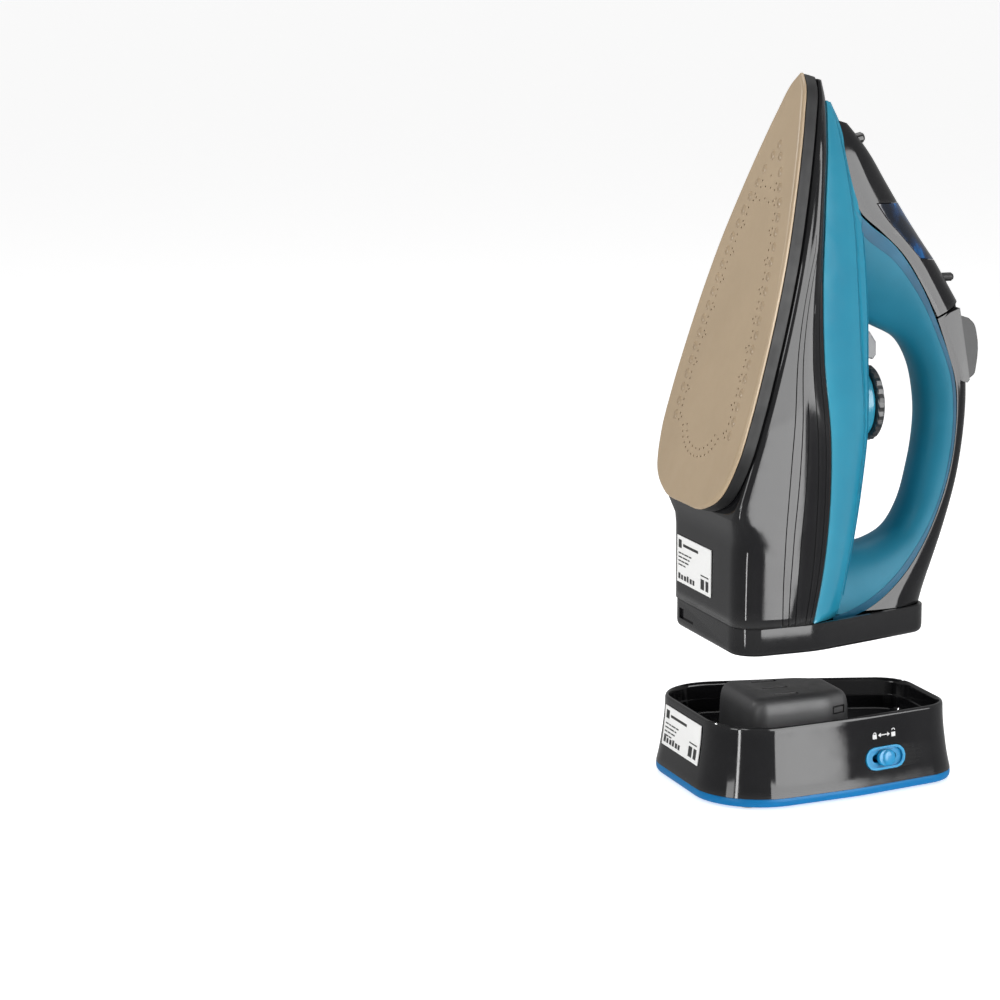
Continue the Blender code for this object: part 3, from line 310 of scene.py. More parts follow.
NODE_FINISH = {
    "heater_casting": ALUMINIUM, "steam_chamber_cover": ALUMINIUM,
    "heating_element": STEEL, "thermostat": STEEL, "thermal_fuse": WHITE,
    "heat_shield": MATTE, "spray_nozzle": BLACK, "steam_lever": MATTE,
    "temperature_dial": DIAL, "thermostat_spindle": WHITE, "lamp_lens": LAMP, "water_tank": TANK_TINT_AND_GLINTS,
    "heel_label": PAPER, "dock_label": PAPER, "contact_block": WHITE, "dock_terminal_block": WHITE,
    "cord_gland": RUBBER, "lock_track": LOCK_BLUE, "lock_tongue": GREY,
}  # fmt: skip
FAMILY_FINISH = {
    "chamber_screw": STEEL, "heel_screw": STEEL, "base_screw": STEEL, "spray_": WHITE, "steam_": WHITE,
    "contact_blade": BRASS, "dock_contact": BRASS, "lead_wire": RUBBER, "dock_foot": RUBBER,
}  # fmt: skip


def finish_of(node):
    if node in NODE_FINISH:
        return NODE_FINISH[node]
    if node.endswith("_spring"):
        return STEEL
    for start, finish in FAMILY_FINISH.items():
        if node.startswith(start):
            return finish
    return BLACK


for name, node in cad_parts.items():
    node.data.materials.clear()
    node.data.materials.append(finish_of(name).material)


# ---------------------------------------------------------------- curves, outlines and meshes
def table(points):
    """A smooth function through (position, value) points."""
    xs, ys = np.array(points, float).T
    slopes = np.gradient(ys, xs)

    def value(x):
        x = min(max(x, xs[0]), xs[-1])
        i = min(int(np.searchsorted(xs, x, side="right")) - 1, len(xs) - 2)
        width = xs[i + 1] - xs[i]
        t = (x - xs[i]) / width
        start = ys[i] * (1 + 2 * t) * (1 - t) ** 2 + slopes[i] * width * t * (1 - t) ** 2
        end = ys[i + 1] * t * t * (3 - 2 * t) + slopes[i + 1] * width * t * t * (t - 1)
        return float(start + end)

    return value


def smooth_rows(rows, steps):
    rows = np.array(rows, float)
    reach = np.concatenate([[0], np.cumsum(np.linalg.norm(np.diff(rows[:, :2], axis=0), axis=1))])
    columns = [table(list(zip(reach, column))) for column in rows.T]
    places = np.concatenate([np.linspace(a, b, steps, endpoint=False) for a, b in zip(reach, reach[1:])])
    return [[column(p) for column in columns] for p in [*places, reach[-1]]]


def sole_outline(inset=0.0, steps=9, widest=3.2):
    """The soleplate's outline moved inwards; insets up to widest have the same number of points."""
    half = np.array(smooth_rows(SOLE_HALF, steps))
    along = np.gradient(half, axis=0)
    along[0], along[-1] = (1, 0), (-1, 0)
    inward = np.stack([-along[:, 1], along[:, 0]], 1) / np.linalg.norm(along, axis=1)[:, None]
    moved = half + inset * inward
    limit = half + widest * inward
    kept = [tuple(p) for p, q in zip(moved[1:-1], limit[1:-1]) if q[0] > 1.0]
    last_s = min(moved[-1][1], kept[-1][1] + kept[-1][0])
    right = [(0, moved[0][1]), *kept, (0, last_s)]
    return right + [(-x, s) for x, s in right[-2:0:-1]]


def plan_outline(plan, grow=0.0, steps=14):
    right, radii = plan
    corners = right + [(-x, y) for x, y in right[::-1]]
    radii = radii + radii[::-1]
    outline = []
    for i, (corner, radius) in enumerate(zip(corners, radii)):
        here = Vector(corner)
        back = (Vector(corners[i - 1]) - here).normalized()
        ahead = (Vector(corners[(i + 1) % len(corners)]) - here).normalized()
        half_angle = back.angle(ahead) / 2
        centre = here + (back + ahead).normalized() * radius / math.sin(half_angle)
        start = here + back * radius / math.tan(half_angle) - centre
        for k in range(steps + 1):
            spoke = Matrix.Rotation((math.pi - 2 * half_angle) * k / steps, 2) @ start
            outline.append(tuple(centre + spoke * (radius + grow) / radius))
    return outline


def piece(name, bm, finish, body, replaced=(), sharp=32):
    bmesh.ops.recalc_face_normals(bm, faces=bm.faces)
    if bm.calc_volume(signed=True) < 0:
        bmesh.ops.reverse_faces(bm, faces=bm.faces)
    mesh = bpy.data.meshes.new(name)
    bm.to_mesh(mesh)
    bm.free()
    mesh.shade_smooth()
    mesh.set_sharp_from_angle(angle=math.radians(sharp))
    mesh.materials.append(finish.material)
    made = bpy.data.objects.new(name, mesh)
    bpy.context.scene.collection.objects.link(made)
    if body:
        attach(made, body)
    if replaced:
        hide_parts(*replaced)
    return made


def add_loft(bm, rings, closed=True):
    loops = [[bm.verts.new(p) for p in ring] for ring in rings]
    count = len(loops[0])
    for low, high in zip(loops, loops[1:]):
        for i in range(count if closed else count - 1):
            k = (i + 1) % count
            bm.faces.new((low[i], low[k], high[k], high[i]))
    if closed:
        bm.faces.new(loops[0][::-1])
        bm.faces.new(loops[-1])
    return loops


def lofted(rings):
    bm = bmesh.new()
    add_loft(bm, rings)
    return bm


def stacked(layers, plan, point):
    """A body through (growth, height) layers of a plan."""
    return lofted([[point(x, y, z) for x, y in plan_outline(plan, grow)] for grow, z in layers])


def tool(bm):
    """A mesh that only cuts or joins others."""
    made = piece("tool", bm, BLACK, None)
    made.hide_render = True
    return made


def boxed(point, places):
    """Boxes, each from its centre and its size."""
    bm = bmesh.new()
    corners = ((-1, -1), (1, -1), (1, 1), (-1, 1))
    for (x, y, z), (a, b, c) in places:
        rings = []
        for k in (-1, 1):
            rings.append([point(x + i * a / 2, y + j * b / 2, z + k * c / 2) for i, j in corners])
        add_loft(bm, rings)
    return bm


def rodded(point, places, sides=32):
    """Round rods, each from its two ends and their radii."""
    bm = bmesh.new()
    for start, end, radius, end_radius in places:
        a, b = point(*start), point(*end)
        turn = (b - a).to_track_quat("Z", "Y").to_matrix().to_4x4()
        size = {"radius1": radius * MM, "radius2": end_radius * MM, "depth": (b - a).length}
        place = Matrix.Translation((a + b) / 2) @ turn
        bmesh.ops.create_cone(bm, cap_ends=True, segments=sides, matrix=place, **size)
    return bm


def worked(bm, steps):
    """The mesh after (operation, other mesh) Booleans, as a new bmesh."""
    base = tool(bm)
    others = []
    for operation, other in steps:
        step = base.modifiers.new("work", "BOOLEAN")
        step.operation = operation
        step.solver = "EXACT"
        step.object = tool(other)
        others.append(step.object)
    bpy.context.view_layer.update()
    done = base.evaluated_get(bpy.context.evaluated_depsgraph_get()).to_mesh()
    made = bmesh.new()
    made.from_mesh(done)
    for old in [base, *others]:
        bpy.data.objects.remove(old)
    return made


def rounded(obj, width, segments=3, angle=35):
    step = obj.modifiers.new("round", "BEVEL")
    step.width = width * MM
    step.segments = segments
    step.limit_method = "ANGLE"
    step.angle_limit = math.radians(angle)
    step.harden_normals = True
    return obj


def circle(steps):
    """The angles of evenly spaced points on a circle."""
    return np.linspace(0, math.tau, steps + 1)[:-1]


def smoothstep(value, low, high):
    t = min(max((value - low) / (high - low), 0), 1)
    return t * t * (3 - 2 * t)


# ---------------------------------------------------------------- camera, light and floor
def look(location, target):
    return (Vector(target) - Vector(location)).to_track_quat("-Z", "Y").to_euler()


def make_stage():
    scene = bpy.context.scene
    camera = bpy.data.objects.new("camera", bpy.data.cameras.new("camera"))
    camera.data.lens = 126.1
    camera.data.sensor_width = 36
    camera.location = (1.6686, -0.664 - CENTRE_Y * MM, 0.4774)
    camera.rotation_euler = (math.radians(90 - 10.27), 0, math.radians(71.69))
    scene.collection.objects.link(camera)
    scene.camera = camera
    scene.view_settings.view_transform = "Standard"
    world = bpy.data.worlds.new("studio")
    world.use_nodes = True
    world.node_tree.nodes["Background"].inputs["Color"].default_value = (1, 1, 1, 1)
    world.node_tree.nodes["Background"].inputs["Strength"].default_value = 0.36
    scene.world = world
    # each lamp lights the colour of a surface ("paint"), shows as its highlights, or does both
    boxes = [
        ("side_fill", (0.9, 0.6, 0.3), (0, 0, 0.2), (0.5, 0.5), 6.5, "paint"),
        ("front_softbox", (0.75, -1.9, 0.6), (0, 0, 0.2), (0.5, 0.9), 8, "both"),
        ("sole_key", (-0.9, -1.3, 1.1), (0, 0, 0.25), (0.16, 0.16), 7, "both"),
        ("top_softbox", (-0.3, 0.2, 1.7), (0, 0, 0.2), (1.2, 1.2), 14, "both"),
        ("flank_highlight", (0.85, 0.37, -0.03), (0.05, -0.04, -0.03), (0.48, 0.26), 3.0, "highlight"),
        ("upper_highlight", (0.81, 0.44, 0.52), (0.05, -0.04, 0.52), (1.0, 0.84), 18.0, "highlight"),
        ("shoulder_highlight", (0.75, -0.9, 0.8), (0.05, -0.04, 0.26), (0.3, 0.4), 2.2, "highlight"),
        ("corner_highlight", (0.486, -0.736, 0.0), (0.05, -0.065, 0.05), (0.06, 0.36), 1.1, "highlight"),
    ]
    for name, location, target, size, power, lights in boxes:
        light = bpy.data.lights.new(name, "AREA")
        light.shape = "RECTANGLE"
        light.size, light.size_y = size
        light.energy = power
        lamp = bpy.data.objects.new(name, light)
        lamp.visible_diffuse = lights != "highlight"
        lamp.visible_glossy = lights != "paint"
        lamp.location = location
        lamp.rotation_euler = look(location, target)
        scene.collection.objects.link(lamp)
    bm = bmesh.new()
    bmesh.ops.create_grid(bm, x_segments=1, y_segments=1, size=30)
    paper = plastic("floor_paper", (0.86, 0.86, 0.86), (0.88, 0.88, 0.88), (0.3, 0.36), 300, 0.02)
    paper.shader.inputs["Emission Color"].default_value = (1, 1, 1, 1)
    paper.shader.inputs["Emission Strength"].default_value = 0.62
    floor = piece("floor", bm, paper, None)
    floor.visible_glossy = False


# ---------------------------------------------------------------- body surface
base_x, seam_x, crease_x = table(BASE_X), table(SEAM_X), table(CREASE_X)
seam_h, crease_h, deck_h = table(SEAM_H), table(CREASE_H), table(DECK_H)
GROOVE_STATIONS = (15, 60, 110, 170, 222)
GROOVES = [
    # distance below the blue seam at each station, and the s where the groove runs out
    ((15, 24, 25, 16.5, 6.4), 231),
    ((12, 19.6, 19.6, 13.6, 4.8), 222),
    ((7.8, 15.2, 15.4, 11, 3.6), 150),
    ((3.4, 6.4, 8, 7.8, 3.0), 196),
    ((1.4, 2.4, 3.2, 3.0, 1.8), 212),
]
groove_lines = [(table(list(zip(GROOVE_STATIONS, below))), tip) for below, tip in GROOVES]
# a line pressed into the blue band: its share of the way from the seam to the crease
band_share = table([(20, 0.93), (87, 0.9), (143, 0.87), (197, 0.76), (255, 0.74), (300, 0.74)])


def floor_h(s):
    wall = (HEEL_FRONT - s * SIN) / COS
    blend = min(max((78 - s) / 8, 0), 1)
    return BODY_FLOOR * (1 - blend) + wall * blend if s > 70 else wall


def flank_columns(s, height):
    """(share of the flank, depth) columns, with three for each groove."""
    columns = []
    last = 0.0
    half = min(0.3 / height, 0.012)
    for below, tip in groove_lines:
        share = max(1 - below(s) / height, last + 2 * half)
        share = min(share, 0.97)
        depth = 0.5 * (1 - smoothstep(s, tip - 14, tip))
        columns += [(last + (share - half - last) * k / 4, 0) for k in range(1, 4)]
        columns += [(share - half, 0), (share, depth), (share + half, 0)]
        last = share + half
    return columns + [(last + (1 - last) * k / 4, 0) for k in range(1, 4)]


def lower_half(s):
    """(x, h) from the middle of the floor, round the foot and up the grooved flank to the seam."""
    low = floor_h(s)
    foot = max(base_x(s), 0.8)
    top_x, top_h = max(seam_x(s), 0.4), max(seam_h(s) - 0.2, low + 2)
    corner = 4 + 9 * (1 - smoothstep(s, 62, 86))
    edge = min(corner, foot / 2, (top_h - low) / 3)
    points = [(0, low), (foot * 0.35, low), (foot * 0.7, low)]
    for k in range(9):
        angle = math.pi / 2 * k / 8
        points.append((foot - edge + edge * math.sin(angle), low + edge - edge * math.cos(angle)))
    for t, depth in flank_columns(s, top_h - low - edge):
        bulge = 2.2 * math.sin(math.pi * t) * min(foot / 40, 1) - depth
        points.append((foot + (top_x - foot) * t + bulge, low + edge + (top_h - low - edge) * t))
    return points + [(top_x, top_h), (top_x - 1.2, top_h)]


def upper_half(s):
    """(x, h) from the seam up the blue band, with its line, over the crease to the middle of the deck."""
    start_x, start_h = max(seam_x(s), 0.4), seam_h(s) + 0.2
    deck = max(deck_h(s), start_h + 1)
    edge_x = max(crease_x(s), 0.25)
    edge_h = min(crease_h(s), deck - 0.5)
    size = min(edge_x / 24, 1)
    points = [(start_x - 1.2, start_h), (start_x - 0.3, start_h), (start_x, start_h + 0.3)]
    length = math.hypot(edge_x - start_x, edge_h - start_h)
    across = ((edge_h - start_h) / length, (start_x - edge_x) / length)
    line = band_share(s)
    step = min(0.55 / length, (1 - line) / 4)
    deep = min(length / 14, 1)
    shares = [(line * k / 5, 0) for k in range(1, 5)]
    shares += [(line - step, 0), (line, -0.55 * deep), (line + step, 0.3 * deep), (line + 2.2 * step, 0)]
    shares.append(((line + 2.2 * step + 1) / 2, 0))
    for t, out in shares:
        bulge = 1.6 * math.sin(math.pi * t) * min(start_x / 40, 1)
        x = start_x + (edge_x - start_x) * t + bulge + across[0] * out
        points.append((x, start_h + (edge_h - start_h) * t + bulge * 0.7 + across[1] * out))
    lip = 0.9 * size
    points += [(edge_x + lip, edge_h - lip * 0.9), (edge_x + lip * 0.4, edge_h - lip * 0.6)]
    points += [(edge_x - lip * 0.3, edge_h - lip * 0.1), (edge_x + lip * 0.1, edge_h + lip * 0.5)]
    rise = deck - edge_h
    tent = ((0.97, 0.045), (0.9, 0.115), (0.78, 0.235), (0.62, 0.41), (0.45, 0.6), (0.3, 0.76), (0.15, 0.91))
    for x, h in tent:
        points.append((edge_x * x, edge_h + rise * h))
    return points + [(0, deck)]


def section(half, place, heel_end):
    """A half's outline across the body, tilted level with the heel near the heel's end."""
    slope = SIN / COS * min(max((110 - place) / (110 - heel_end), 0), 1)
    right = []
    for i in range(len(half(place))):
        s = place
        for _ in range(5):
            s = place + slope * half(s)[i][1]
        x, h = half(s)[i]
        right.append((x, s, h))
    if half is lower_half:
        points = [(-x, s, h) for x, s, h in right[:0:-1]] + right
    else:
        points = right + [(-x, s, h) for x, s, h in right[-2::-1]]
    return [iron(*p) for p in points]


def skin(name, half, tip, finish, replaced):
    """An open half of the body, given the thickness of a moulding."""
    start = HEEL_SEAM / COS
    places = [tip - (tip - start) * (1 - k / 69) ** 1.35 for k in range(70)]
    bm = bmesh.new()
    add_loft(bm, [section(half, place, start) for place in places], closed=False)
    made = piece(name, bm, finish, "iron", [replaced], 28)
    thick = made.modifiers.new("thickness", "SOLIDIFY")
    thick.thickness = 1.4 * MM
    thick.offset = -1


def dome(station, points=33, far=1.0, grow=0.0):
    """A rounded arch over the iron, from its two foot points to its apex."""
    seam_s, seam_height, apex_s, apex_height, half_width = station
    seam, apex = np.array([seam_s, seam_height]), np.array([apex_s, apex_height])
    reach = np.linalg.norm(apex - seam)
    arc = []
    for angle in np.linspace(-math.pi / 2 * far, math.pi / 2 * far, points):
        side, up = math.sin(angle), abs(math.cos(angle))
        x = math.copysign(abs(side) ** (2 / ROUNDNESS), side) * (half_width + grow)
        s, h = seam + (apex - seam) * up ** (2 / ROUNDNESS) * (1 + grow / reach)
        arc.append(iron(x, s, h))
    return arc


def d_rings(rows, steps):
    return [dome(row) for row in smooth_rows(rows, steps)]


def dome_plate(rows, steps, far, outside, inside, longer, points=33):
    """A curved plate that follows the arches of a table of rows."""
    rows = np.array(rows, float)
    ends = []
    for k, n in ((0, 1), (-1, -2)):
        step = rows[n] - rows[k]
        ends.append(rows[k] - step / np.linalg.norm(step[2:4]) * longer)
    rows = smooth_rows([ends[0], *rows[1:-1], ends[1]], steps)
    rings = [dome(row, points, far, outside) + dome(row, points, far, -inside)[::-1] for row in rows]
    return lofted(rings)


def side_shape(outline, start_x, end_x):
    return lofted([[iron(x, s, h) for s, h in outline] for x in (start_x, end_x)])


def heel_block():
    return boxed(heel, [((0, 60, HEEL_SEAM - 60), (200, 300, 120))])


def socket_block():
    return stacked([(4.0, -20), (4.0, 28.1)], SOCKET_PLAN, heel)


def pump_bores():
    return rodded(iron, [((x, 201.5, 66), (x, 201.5, 150), 4.8, 4.8) for x in (-6.8, 6.8)])


# ---------------------------------------------------------------- iron
def sole_dimples():
    """Shallow round dents in a row inside the sole's edge."""
    dents = bmesh.new()
    cap = [(2.75, -1), (2.7, 0.03), (2.5, 0.35), (2.05, 0.7), (1.3, 0.95), (0.5, 1.05)]
    for x, s in [(0, 268.5)] + [(side * x, s) for s, x in DIMPLES for side in (-1, 1)]:
        rings = []
        for r, h in cap:
            rings.append([iron(x + r * math.cos(a), s + r * math.sin(a), h) for a in circle(24)])
        add_loft(dents, rings)
    return dents


def steam_holes():
    """Groups of holes beside the dimples, a cluster near the tip and two arcs near the heel."""
    holes = []
    for k, (s, x) in enumerate(DIMPLES):
        if k < 2:
            continue
        for side in (-1, 1):
            holes += [(side * (x - 5.6), s + 1.6), (side * (x - 5.6), s - 1.9)]
            if k % 2:
                holes.append((side * (x - 8.4), s))
    holes += [(0, 252), (3.4, 246), (-3.4, 246), (0, 240), (6, 238.5), (-6, 238.5)]
    for radius, count in ((26, 15), (20.5, 11)):
        for angle in np.linspace(-1.25, 1.25, count):
            holes.append((radius * math.sin(angle), 121 - radius * 0.72 * math.cos(angle)))
    return rodded(iron, [((x, s, -1), (x, s, 2.2), 0.62, 0.62) for x, s in holes], 10)


def make_soleplate():
    profile = [(3.2, 0), (2.0, 0.02), (1.2, 0.14), (0.55, 0.42), (0.15, 0.85), (0, 1.4), (0.05, 2.0)]
    profile += [(0.3, 2.35), (1.4, 2.5), (1.6, 5.0)]
    plate = lofted([[iron(x, s, h) for x, s in sole_outline(inset)] for inset, h in profile])
    plate = worked(plate, [("DIFFERENCE", sole_dimples()), ("DIFFERENCE", steam_holes())])
    made = piece("soleplate_skin", plate, CERAMIC, "iron", ["soleplate"], 40)
    down = (iron(0, 0, 0) - iron(0, 0, 1)).normalized()
    # the flat of the sole is shaded flat, because it is full of long thin triangles
    for face in made.data.polygons:
        if face.normal.dot(down) > 0.999:
            face.use_smooth = False
    gasket = [(1.6, 2.5), (0.6, 2.6), (0.3, 2.9), (0.25, 5.2), (0.35, 8.8), (0.9, 9.3)]
    gasket = lofted([[iron(x, s, h) for x, s in sole_outline(inset)] for inset, h in gasket])
    piece("heat_shield_skin", gasket, MATTE, "iron", ["heat_shield"], 40)


def make_body():
    skin("lower_housing_skin", lower_half, 306, BLACK, "lower_housing")
    skin("upper_housing_skin", upper_half, 296.5, TEAL, "upper_housing")


SMOKE_WIDTH = [
    (0, 8.5), (26, 8), (48, 6.5), (70, 4.5), (100, 2.6), (150, 1.6), (190, 1.6), (215, 3.2), (245, 4.2),
]  # fmt: skip


def smoke_rings(side):
    """The smoky strip beside the seam of the handle, as sections of a thin plate on its surface."""
    rows = smooth_rows(HANDLE, 9)
    width = table(SMOKE_WIDTH)
    rings = []
    reach = 0.0
    for k, (seam_s, seam_height, apex_s, apex_height, half_width) in enumerate(rows):
        if k:
            reach += math.dist(rows[k - 1][:2], (seam_s, seam_height))
        if reach < 7:
            continue
        seam, apex = np.array([seam_s, seam_height]), np.array([apex_s, apex_height])
        depth = np.linalg.norm(apex - seam)
        arcs = []
        for grow in (0.22, -0.6):
            arc = []
            for t in np.linspace(0.01, width(reach) / depth, 8):
                up = t ** (ROUNDNESS / 2)
                across = (1 - up**2) ** 0.5
                x = side * across ** (2 / ROUNDNESS) * (half_width + grow)
                s, h = seam + (apex - seam) * t
                arc.append(iron(x, s, h))
            arcs.append(arc)
        rings.append(arcs[0] + arcs[1][::-1])
    return rings


def make_handle():
    loop = lofted([dome(row, 41) for row in smooth_rows(HANDLE, 9)])
    steps = [("DIFFERENCE", heel_block()), ("DIFFERENCE", socket_block()), ("DIFFERENCE", pump_bores())]
    piece("handle_skin", worked(loop, steps), TEAL_HANDLE, "iron", ["handle_loop"], 40)
    for name, side in (("left", -1), ("right", 1)):
        strip = lofted(smoke_rings(side))
        piece(f"smoke_strip_{name}", strip, TEAL_DARK, "iron", sharp=50)
    cover = lofted([dome(row, 41) for row in smooth_rows(COVER, 9)])
    steps = [
        ("UNION", side_shape(COLLAR_SIDE, -15.4, 15.4)),
        ("DIFFERENCE", heel_block()),
        ("DIFFERENCE", socket_block()),
        ("DIFFERENCE", side_shape(WELL_SIDE, -14.4, 14.4)),
        ("DIFFERENCE", pump_bores()),
    ]
    piece("handle_cover_skin", worked(cover, steps), BLACK, "iron", ["handle_cover"], 30)
    for name, side in (("spray", -1), ("steam", 1)):
        bm = lofted(button_rings(side))
        button = piece(f"{name}_button_skin", bm, BUTTON, f"{name}_key", [f"{name}_button"])
        rounded(button, 1.2, 4)


def button_rings(side):
    """Side outlines across a button, lower towards its outer edge, with the top's corners rounded."""
    rings = []
    top = smooth_rows(BUTTON_TOP, 4)
    for x in (0.4, 2, 4, 6, 8, 9.5, 11, 12.2, 13.2, BUTTON_EDGE):
        drop = BUTTON_CROWN * (x / BUTTON_EDGE) ** 1.5
        outline = BUTTON_LOW + [(s, h - drop) for s, h in top]
        rings.append([iron(side * x, s, h) for s, h in outline])
    return rings


def make_nose():
    nose = lofted(d_rings(NOSE, 9))
    low, high = along(LEVER_BASE, -4), along(LEVER_BASE, 26)
    side = [(low[1] - 3.3, low[2]), (low[1] + 3.3, low[2])]
    side += [(high[1] + 3.3, high[2]), (high[1] - 3.3, high[2])]
    steps = [
        ("DIFFERENCE", pump_bores()),
        ("DIFFERENCE", rodded(iron, [((0, 238, 30), (0, 246, 100), 6.5, 6.5)])),
        ("DIFFERENCE", side_shape(side, -6.5, 6.5)),
        ("DIFFERENCE", rodded(iron, [(NOZZLE_START, NOZZLE_END, 3.4, 3.4)])),
        ("DIFFERENCE", dome_plate(LID, 9, 0.77, 4, 3, 0.5)),
    ]
    piece("nose_skin", worked(nose, steps), BLACK, "iron", ["nose_cover"], 30)
    lid = dome_plate(LID, 9, 0.75, 0, 2.6, 0)
    lid = piece("filler_lid_skin", lid, LID_TINT_AND_GLINTS, "lid", ["filler_lid"], 40)
    rounded(lid, 0.6, 3, 50)


def along(place, reach):
    x, s, h = place
    return (x, s + SIN * reach, h + COS * reach)


def make_dial_seat():
    """A low round seat on the deck under the dial."""
    rings = []
    for radius, reach in ((18.8, -11), (18.4, -2.2), (18.1, -1.0), (17.6, -0.5), (16.8, -0.3)):
        spot = iron(*along(DIAL_BASE, reach))
        rings.append([spot + Vector((math.cos(a), 0, math.sin(a))) * radius * MM for a in circle(72)])
    piece("dial_seat_skin", lofted(rings), TEAL, "iron", sharp=40)


def make_heel():
    profile = [(-3.2, 0), (-1.8, 0.3), (-0.8, 1.0), (-0.2, 2.2), (0, 3.6), (0, 14.6), (-0.3, 15)]
    cap = stacked(profile, HEEL_PLAN, heel)
    places = [(-38.5, 9), (38.5, 9)]
    recess = wall_frame((*TONGUE_AT[:2], TONGUE_AT[2] - SEAT_Z), TONGUE_WALL, 0, heel)
    steps = [
        ("DIFFERENCE", stacked([(-2.4, 2.4), (-2.4, 20)], HEEL_PLAN, heel)),
        ("UNION", stacked([(3.5, 0.5), (3.5, 27.5)], SOCKET_PLAN, heel)),
        ("UNION", rodded(heel, [((x, y, 0.5), (x, y, 12), 4.6, 4.6) for x, y in places])),
        ("DIFFERENCE", stacked([(1.5, -1), (1.5, 25.5)], SOCKET_PLAN, heel)),
        ("DIFFERENCE", rodded(heel, [((x, y, -1), (x, y, 4), 3.4, 3.4) for x, y in places])),
        ("DIFFERENCE", boxed(heel, [((-24, -0.5, 8), (20, 3.4, 5.6))])),
        ("DIFFERENCE", boxed(recess, [((0, 0, 3.5), (11, 5.4, 7))])),
        ("DIFFERENCE", boxed(heel, [((x, BLADE_Y, 25), (1.8, 12.8, 10)) for x in BLADE_X])),
    ]
    piece("heel_cap_skin", worked(cap, steps), BLACK, "iron", ["heel_cap"], 30)


# ---------------------------------------------------------------- dock
def wall_frame(place, wall, rise, point):
    """A point function on a wall: along it, up it and out of it."""
    run = Vector((*wall, 0)).normalized()
    out = Vector((run.y, -run.x, 0)) * math.cos(rise) + Vector((0, 0, math.sin(rise)))
    up = out.cross(run)
    origin = point(*place)

    def on_frame(x, y, z):
        return origin + (run * x + up * y + out * z) * MM

    return on_frame


on_lock = wall_frame(LOCK_AT, LOCK_WALL, LOCK_RISE, dock)
on_flank = wall_frame(TONGUE_AT, TONGUE_WALL, 0, dock)


def oblong(length, height, steps=12):
    """A long outline with round ends."""
    outline = []
    for side in (1, -1):
        for k in range(steps + 1):
            angle = math.pi * (k / steps - 0.5) + (0 if side > 0 else math.pi)
            reach = side * (length - height) / 2
            outline.append((reach + height / 2 * math.cos(angle), height / 2 * math.sin(angle)))
    return outline


def on_wall(layers):
    """A long rounded body on the dock's wall at the lock, from (length, height, level) layers."""
    rings = []
    for length, height, level in layers:
        rings.append([on_lock(x, y, level) for x, y in oblong(length, height)])
    return lofted(rings)


def make_dock():
    flare = table(DOCK_FLARE)
    outer = [(flare(z), z) for z in np.linspace(5.7, 40.6, 18)] + [(-0.15, 41.3), (-0.6, 41.85), (-1.0, 42)]
    basin = [(-6, SEAT_Z - 0.12), (-4.8, 26.05), (-4.2, 26.9), (-3.85, 32.6), (-3.75, 33), (-3.1, 33.2)]
    basin += [(-2.9, 33.8), (-2.5, 39.5), (-2.1, 41.3), (-1.5, 42.2), (-1.0, 60)]
    under = [(1.4, 0), (1.4, 5.7), (0, 12), (-1.7, 23.5)]
    steps = [
        ("DIFFERENCE", stacked(basin, DOCK_PLAN, dock)),
        ("DIFFERENCE", stacked(under, DOCK_PLAN, dock)),
        ("DIFFERENCE", stacked([(0.4, 20), (0.4, 30)], SOCKET_PLAN, dock)),
        ("DIFFERENCE", on_wall([(26.6, 12.6, -7), (26.6, 12.6, 5)])),
        ("DIFFERENCE", rodded(dock, [((-14, 110, 14), (-14, 150, 14), 4.3, 4.3)])),
    ]
    shell = worked(stacked(outer, DOCK_PLAN, dock), steps)
    piece("dock_shell_skin", shell, BLACK, "dock", ["dock_shell"], 30)
    base = [(3.0, 1.0), (3.9, 1.3), (4.5, 2.2), (4.65, 3.2), (4.6, 5.0), (4.3, 5.5)]
    feet = ((-46, 8), (46, 8), (-28, 118), (28, 118))
    steps = [
        ("DIFFERENCE", rodded(dock, [((x, y, 0), (x, y, 3), 6.4, 6.4) for x, y in feet])),
        ("DIFFERENCE", rodded(dock, [((0, y, 0), (0, y, 3.4), 3.4, 3.4) for y in (4, 122)])),
    ]
    base = worked(stacked(base, DOCK_PLAN, dock), steps)
    piece("dock_base_skin", base, BASE_BLUE, "dock", ["dock_base"], 40)


def make_pedestal():
    body = [(4, 20), (4, 23.2), (0, 23.3), (-0.25, 34), (-0.5, 41), (-0.9, 43.6), (-1.6, 45.8), (-2.8, 47.7)]
    body += [(-4.3, 48.8), (-6.2, 49.35), (-8.2, 49.5)]
    steps = [
        ("DIFFERENCE", stacked([(-2.6, 10), (-3.0, 43), (-6, 46)], SOCKET_PLAN, dock)),
        ("DIFFERENCE", boxed(on_flank, [((0, 0, 0), (9, 4.4, 12))])),
        ("DIFFERENCE", boxed(dock, [((x, BLADE_Y, 50), (3.4, 14.5, 20)) for x in BLADE_X])),
    ]
    body = worked(stacked(body, SOCKET_PLAN, dock), steps)
    made = piece("pedestal_skin", body, GREY, "dock", ["dock_pedestal"], 30)
    rounded(made, 0.25, 2, 60)


def make_lock():
    knob = on_wall([(10.6, 8.2, -0.4), (11, 8.6, 0.4), (11, 8.6, 1.6), (10.4, 8.0, 2.1), (8.2, 6.0, 2.35)])
    rings = []
    for r, z in ((4.2, 2.0), (4.1, 2.5), (3.7, 3.0), (2.9, 3.35), (1.6, 3.55), (0.5, 3.6)):
        rings.append([on_lock(0.6 + r * math.cos(a), r * math.sin(a), z) for a in circle(32)])
    ball = lofted(rings)
    stem = on_wall([(6, 3.6, -9), (6, 3.6, 1)])
    body = worked(knob, [("UNION", ball), ("UNION", stem)])
    piece("lock_slider_skin", body, LOCK_BLUE, "lock", ["lock_slider"], 40)


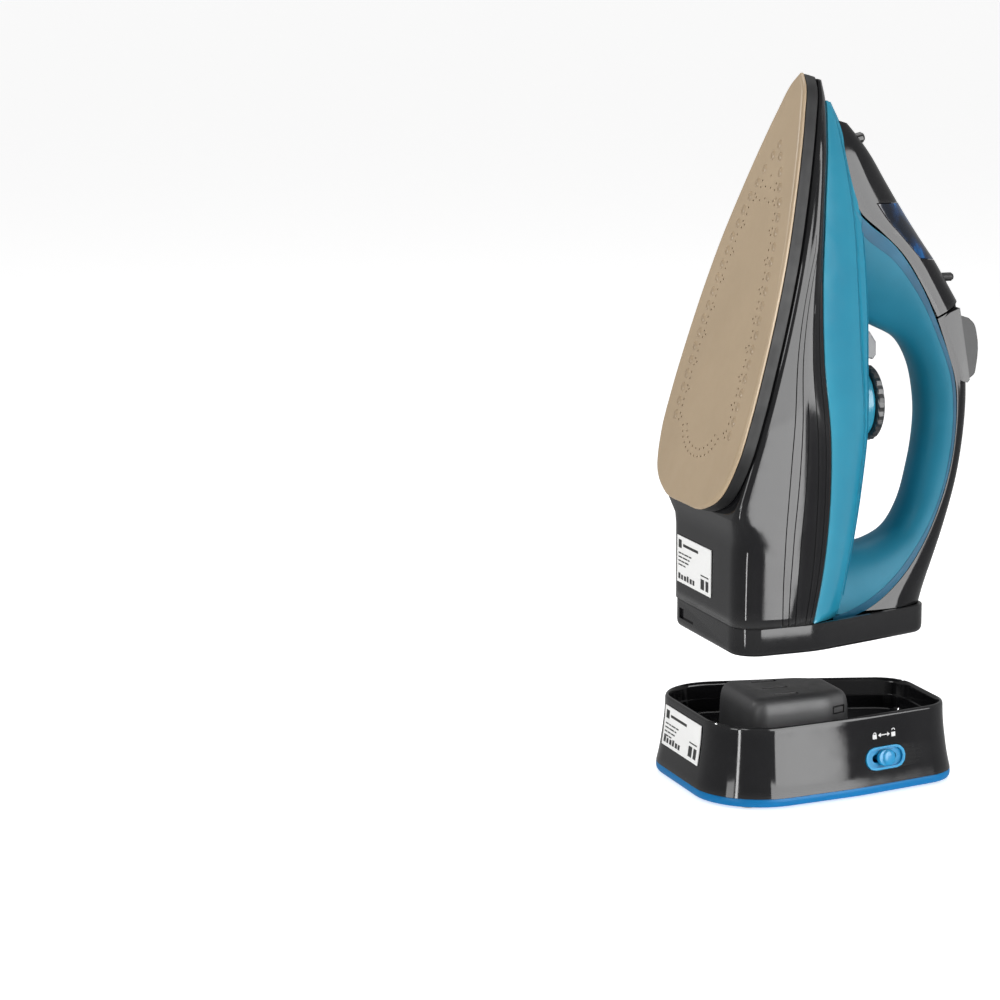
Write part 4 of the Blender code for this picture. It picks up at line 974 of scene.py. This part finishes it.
# ---------------------------------------------------------------- prints: plain shapes with no lettering
def flat_shapes(name, point, shapes, finish, body, deep=0.05):
    """Thin raised shapes, each an outline of (x, y) points on a surface."""
    bm = bmesh.new()
    for outline in shapes:
        add_loft(bm, [[point(x, y, z) for x, y in outline] for z in (0, deep)])
    return piece(name, bm, finish, body, sharp=20)


def bar(x, y, width, height):
    return [(x, y), (x + width, y), (x + width, y + height), (x, y + height)]


def ring_half(x, y, radius, thick, steps=10):
    """The bow of a padlock."""
    angles = [math.pi * k / steps for k in range(steps + 1)]
    outer = [(x + radius * math.cos(a), y + radius * math.sin(a)) for a in angles]
    inner = [(x + (radius - thick) * math.cos(a), y + (radius - thick) * math.sin(a)) for a in angles[::-1]]
    return outer + inner


def label_marks(width, height):
    """A dark square, rows of short bars and a row of small blocks."""
    marks = [bar(2, height - 6.5, 4.5, 4.5), bar(8.5, height - 5.2, width * 0.45, 1.5)]
    for row, widths in enumerate(((5, 3, 7, 4), (6, 8, 3), (4, 5, 6), (7, 4))):
        x = 2.0
        for width_here in widths:
            marks.append(bar(x, height - 9.6 - 2.1 * row, width_here * 0.85, 0.75))
            x += width_here * 0.85 + 0.8
    for k in range(6):
        marks.append(bar(2 + 4.1 * k, 1.8, 2.6 if k % 2 else 3.0, 2.6 if k % 3 else 3.2))
    marks += [bar(width - 14, 2, 5, 5.5), bar(width - 7, 2, 4, 5.5), bar(width - 14, 9, 11, 0.7)]
    return marks


dock_flare = table(DOCK_FLARE)


def on_heel_label(x, y, z):
    return heel(x - 36, -0.72 - z, 103 - HEEL_Z + y)


def on_dock_label(x, y, z):
    return dock(x - 27, -9.82 - dock_flare(17 + y) - z, 17 + y)


def on_lock_wall(x, y, z):
    """A point on the dock's wall, which curves away from the lock's flat frame."""
    plane = 2.08 - y * math.sin(LOCK_RISE)
    flare = dock_flare(LOCK_AT[2] + y * math.cos(LOCK_RISE))
    return on_lock(x, y, (flare - plane) * math.cos(LOCK_RISE) + 0.03 + z)


def make_prints():
    flat_shapes("heel_label_print", on_heel_label, label_marks(48, 25), INK, "iron")
    flat_shapes("dock_label_print", on_dock_label, label_marks(51, 21), INK, "dock")
    shapes = []
    for x, opened in ((-6.2, 0), (6.2, 1.0)):
        shapes += [bar(x - 1.3, 10.4, 2.6, 2.3), ring_half(x, 12.7 + opened, 1.15, 0.42)]
    shapes.append(bar(-2.2, 11.8, 4.4, 0.5))
    shapes.append([(-2.2, 10.9), (-2.2, 13.2), (-3.9, 12.05)])
    shapes.append([(2.2, 13.2), (2.2, 10.9), (3.9, 12.05)])
    flat_shapes("lock_icons", on_lock_wall, shapes, PRINT, "dock", 0.06)


make_stage()
make_soleplate()
make_body()
make_handle()
make_nose()
make_dial_seat()
make_heel()
make_dock()
make_pedestal()
make_lock()
make_prints()
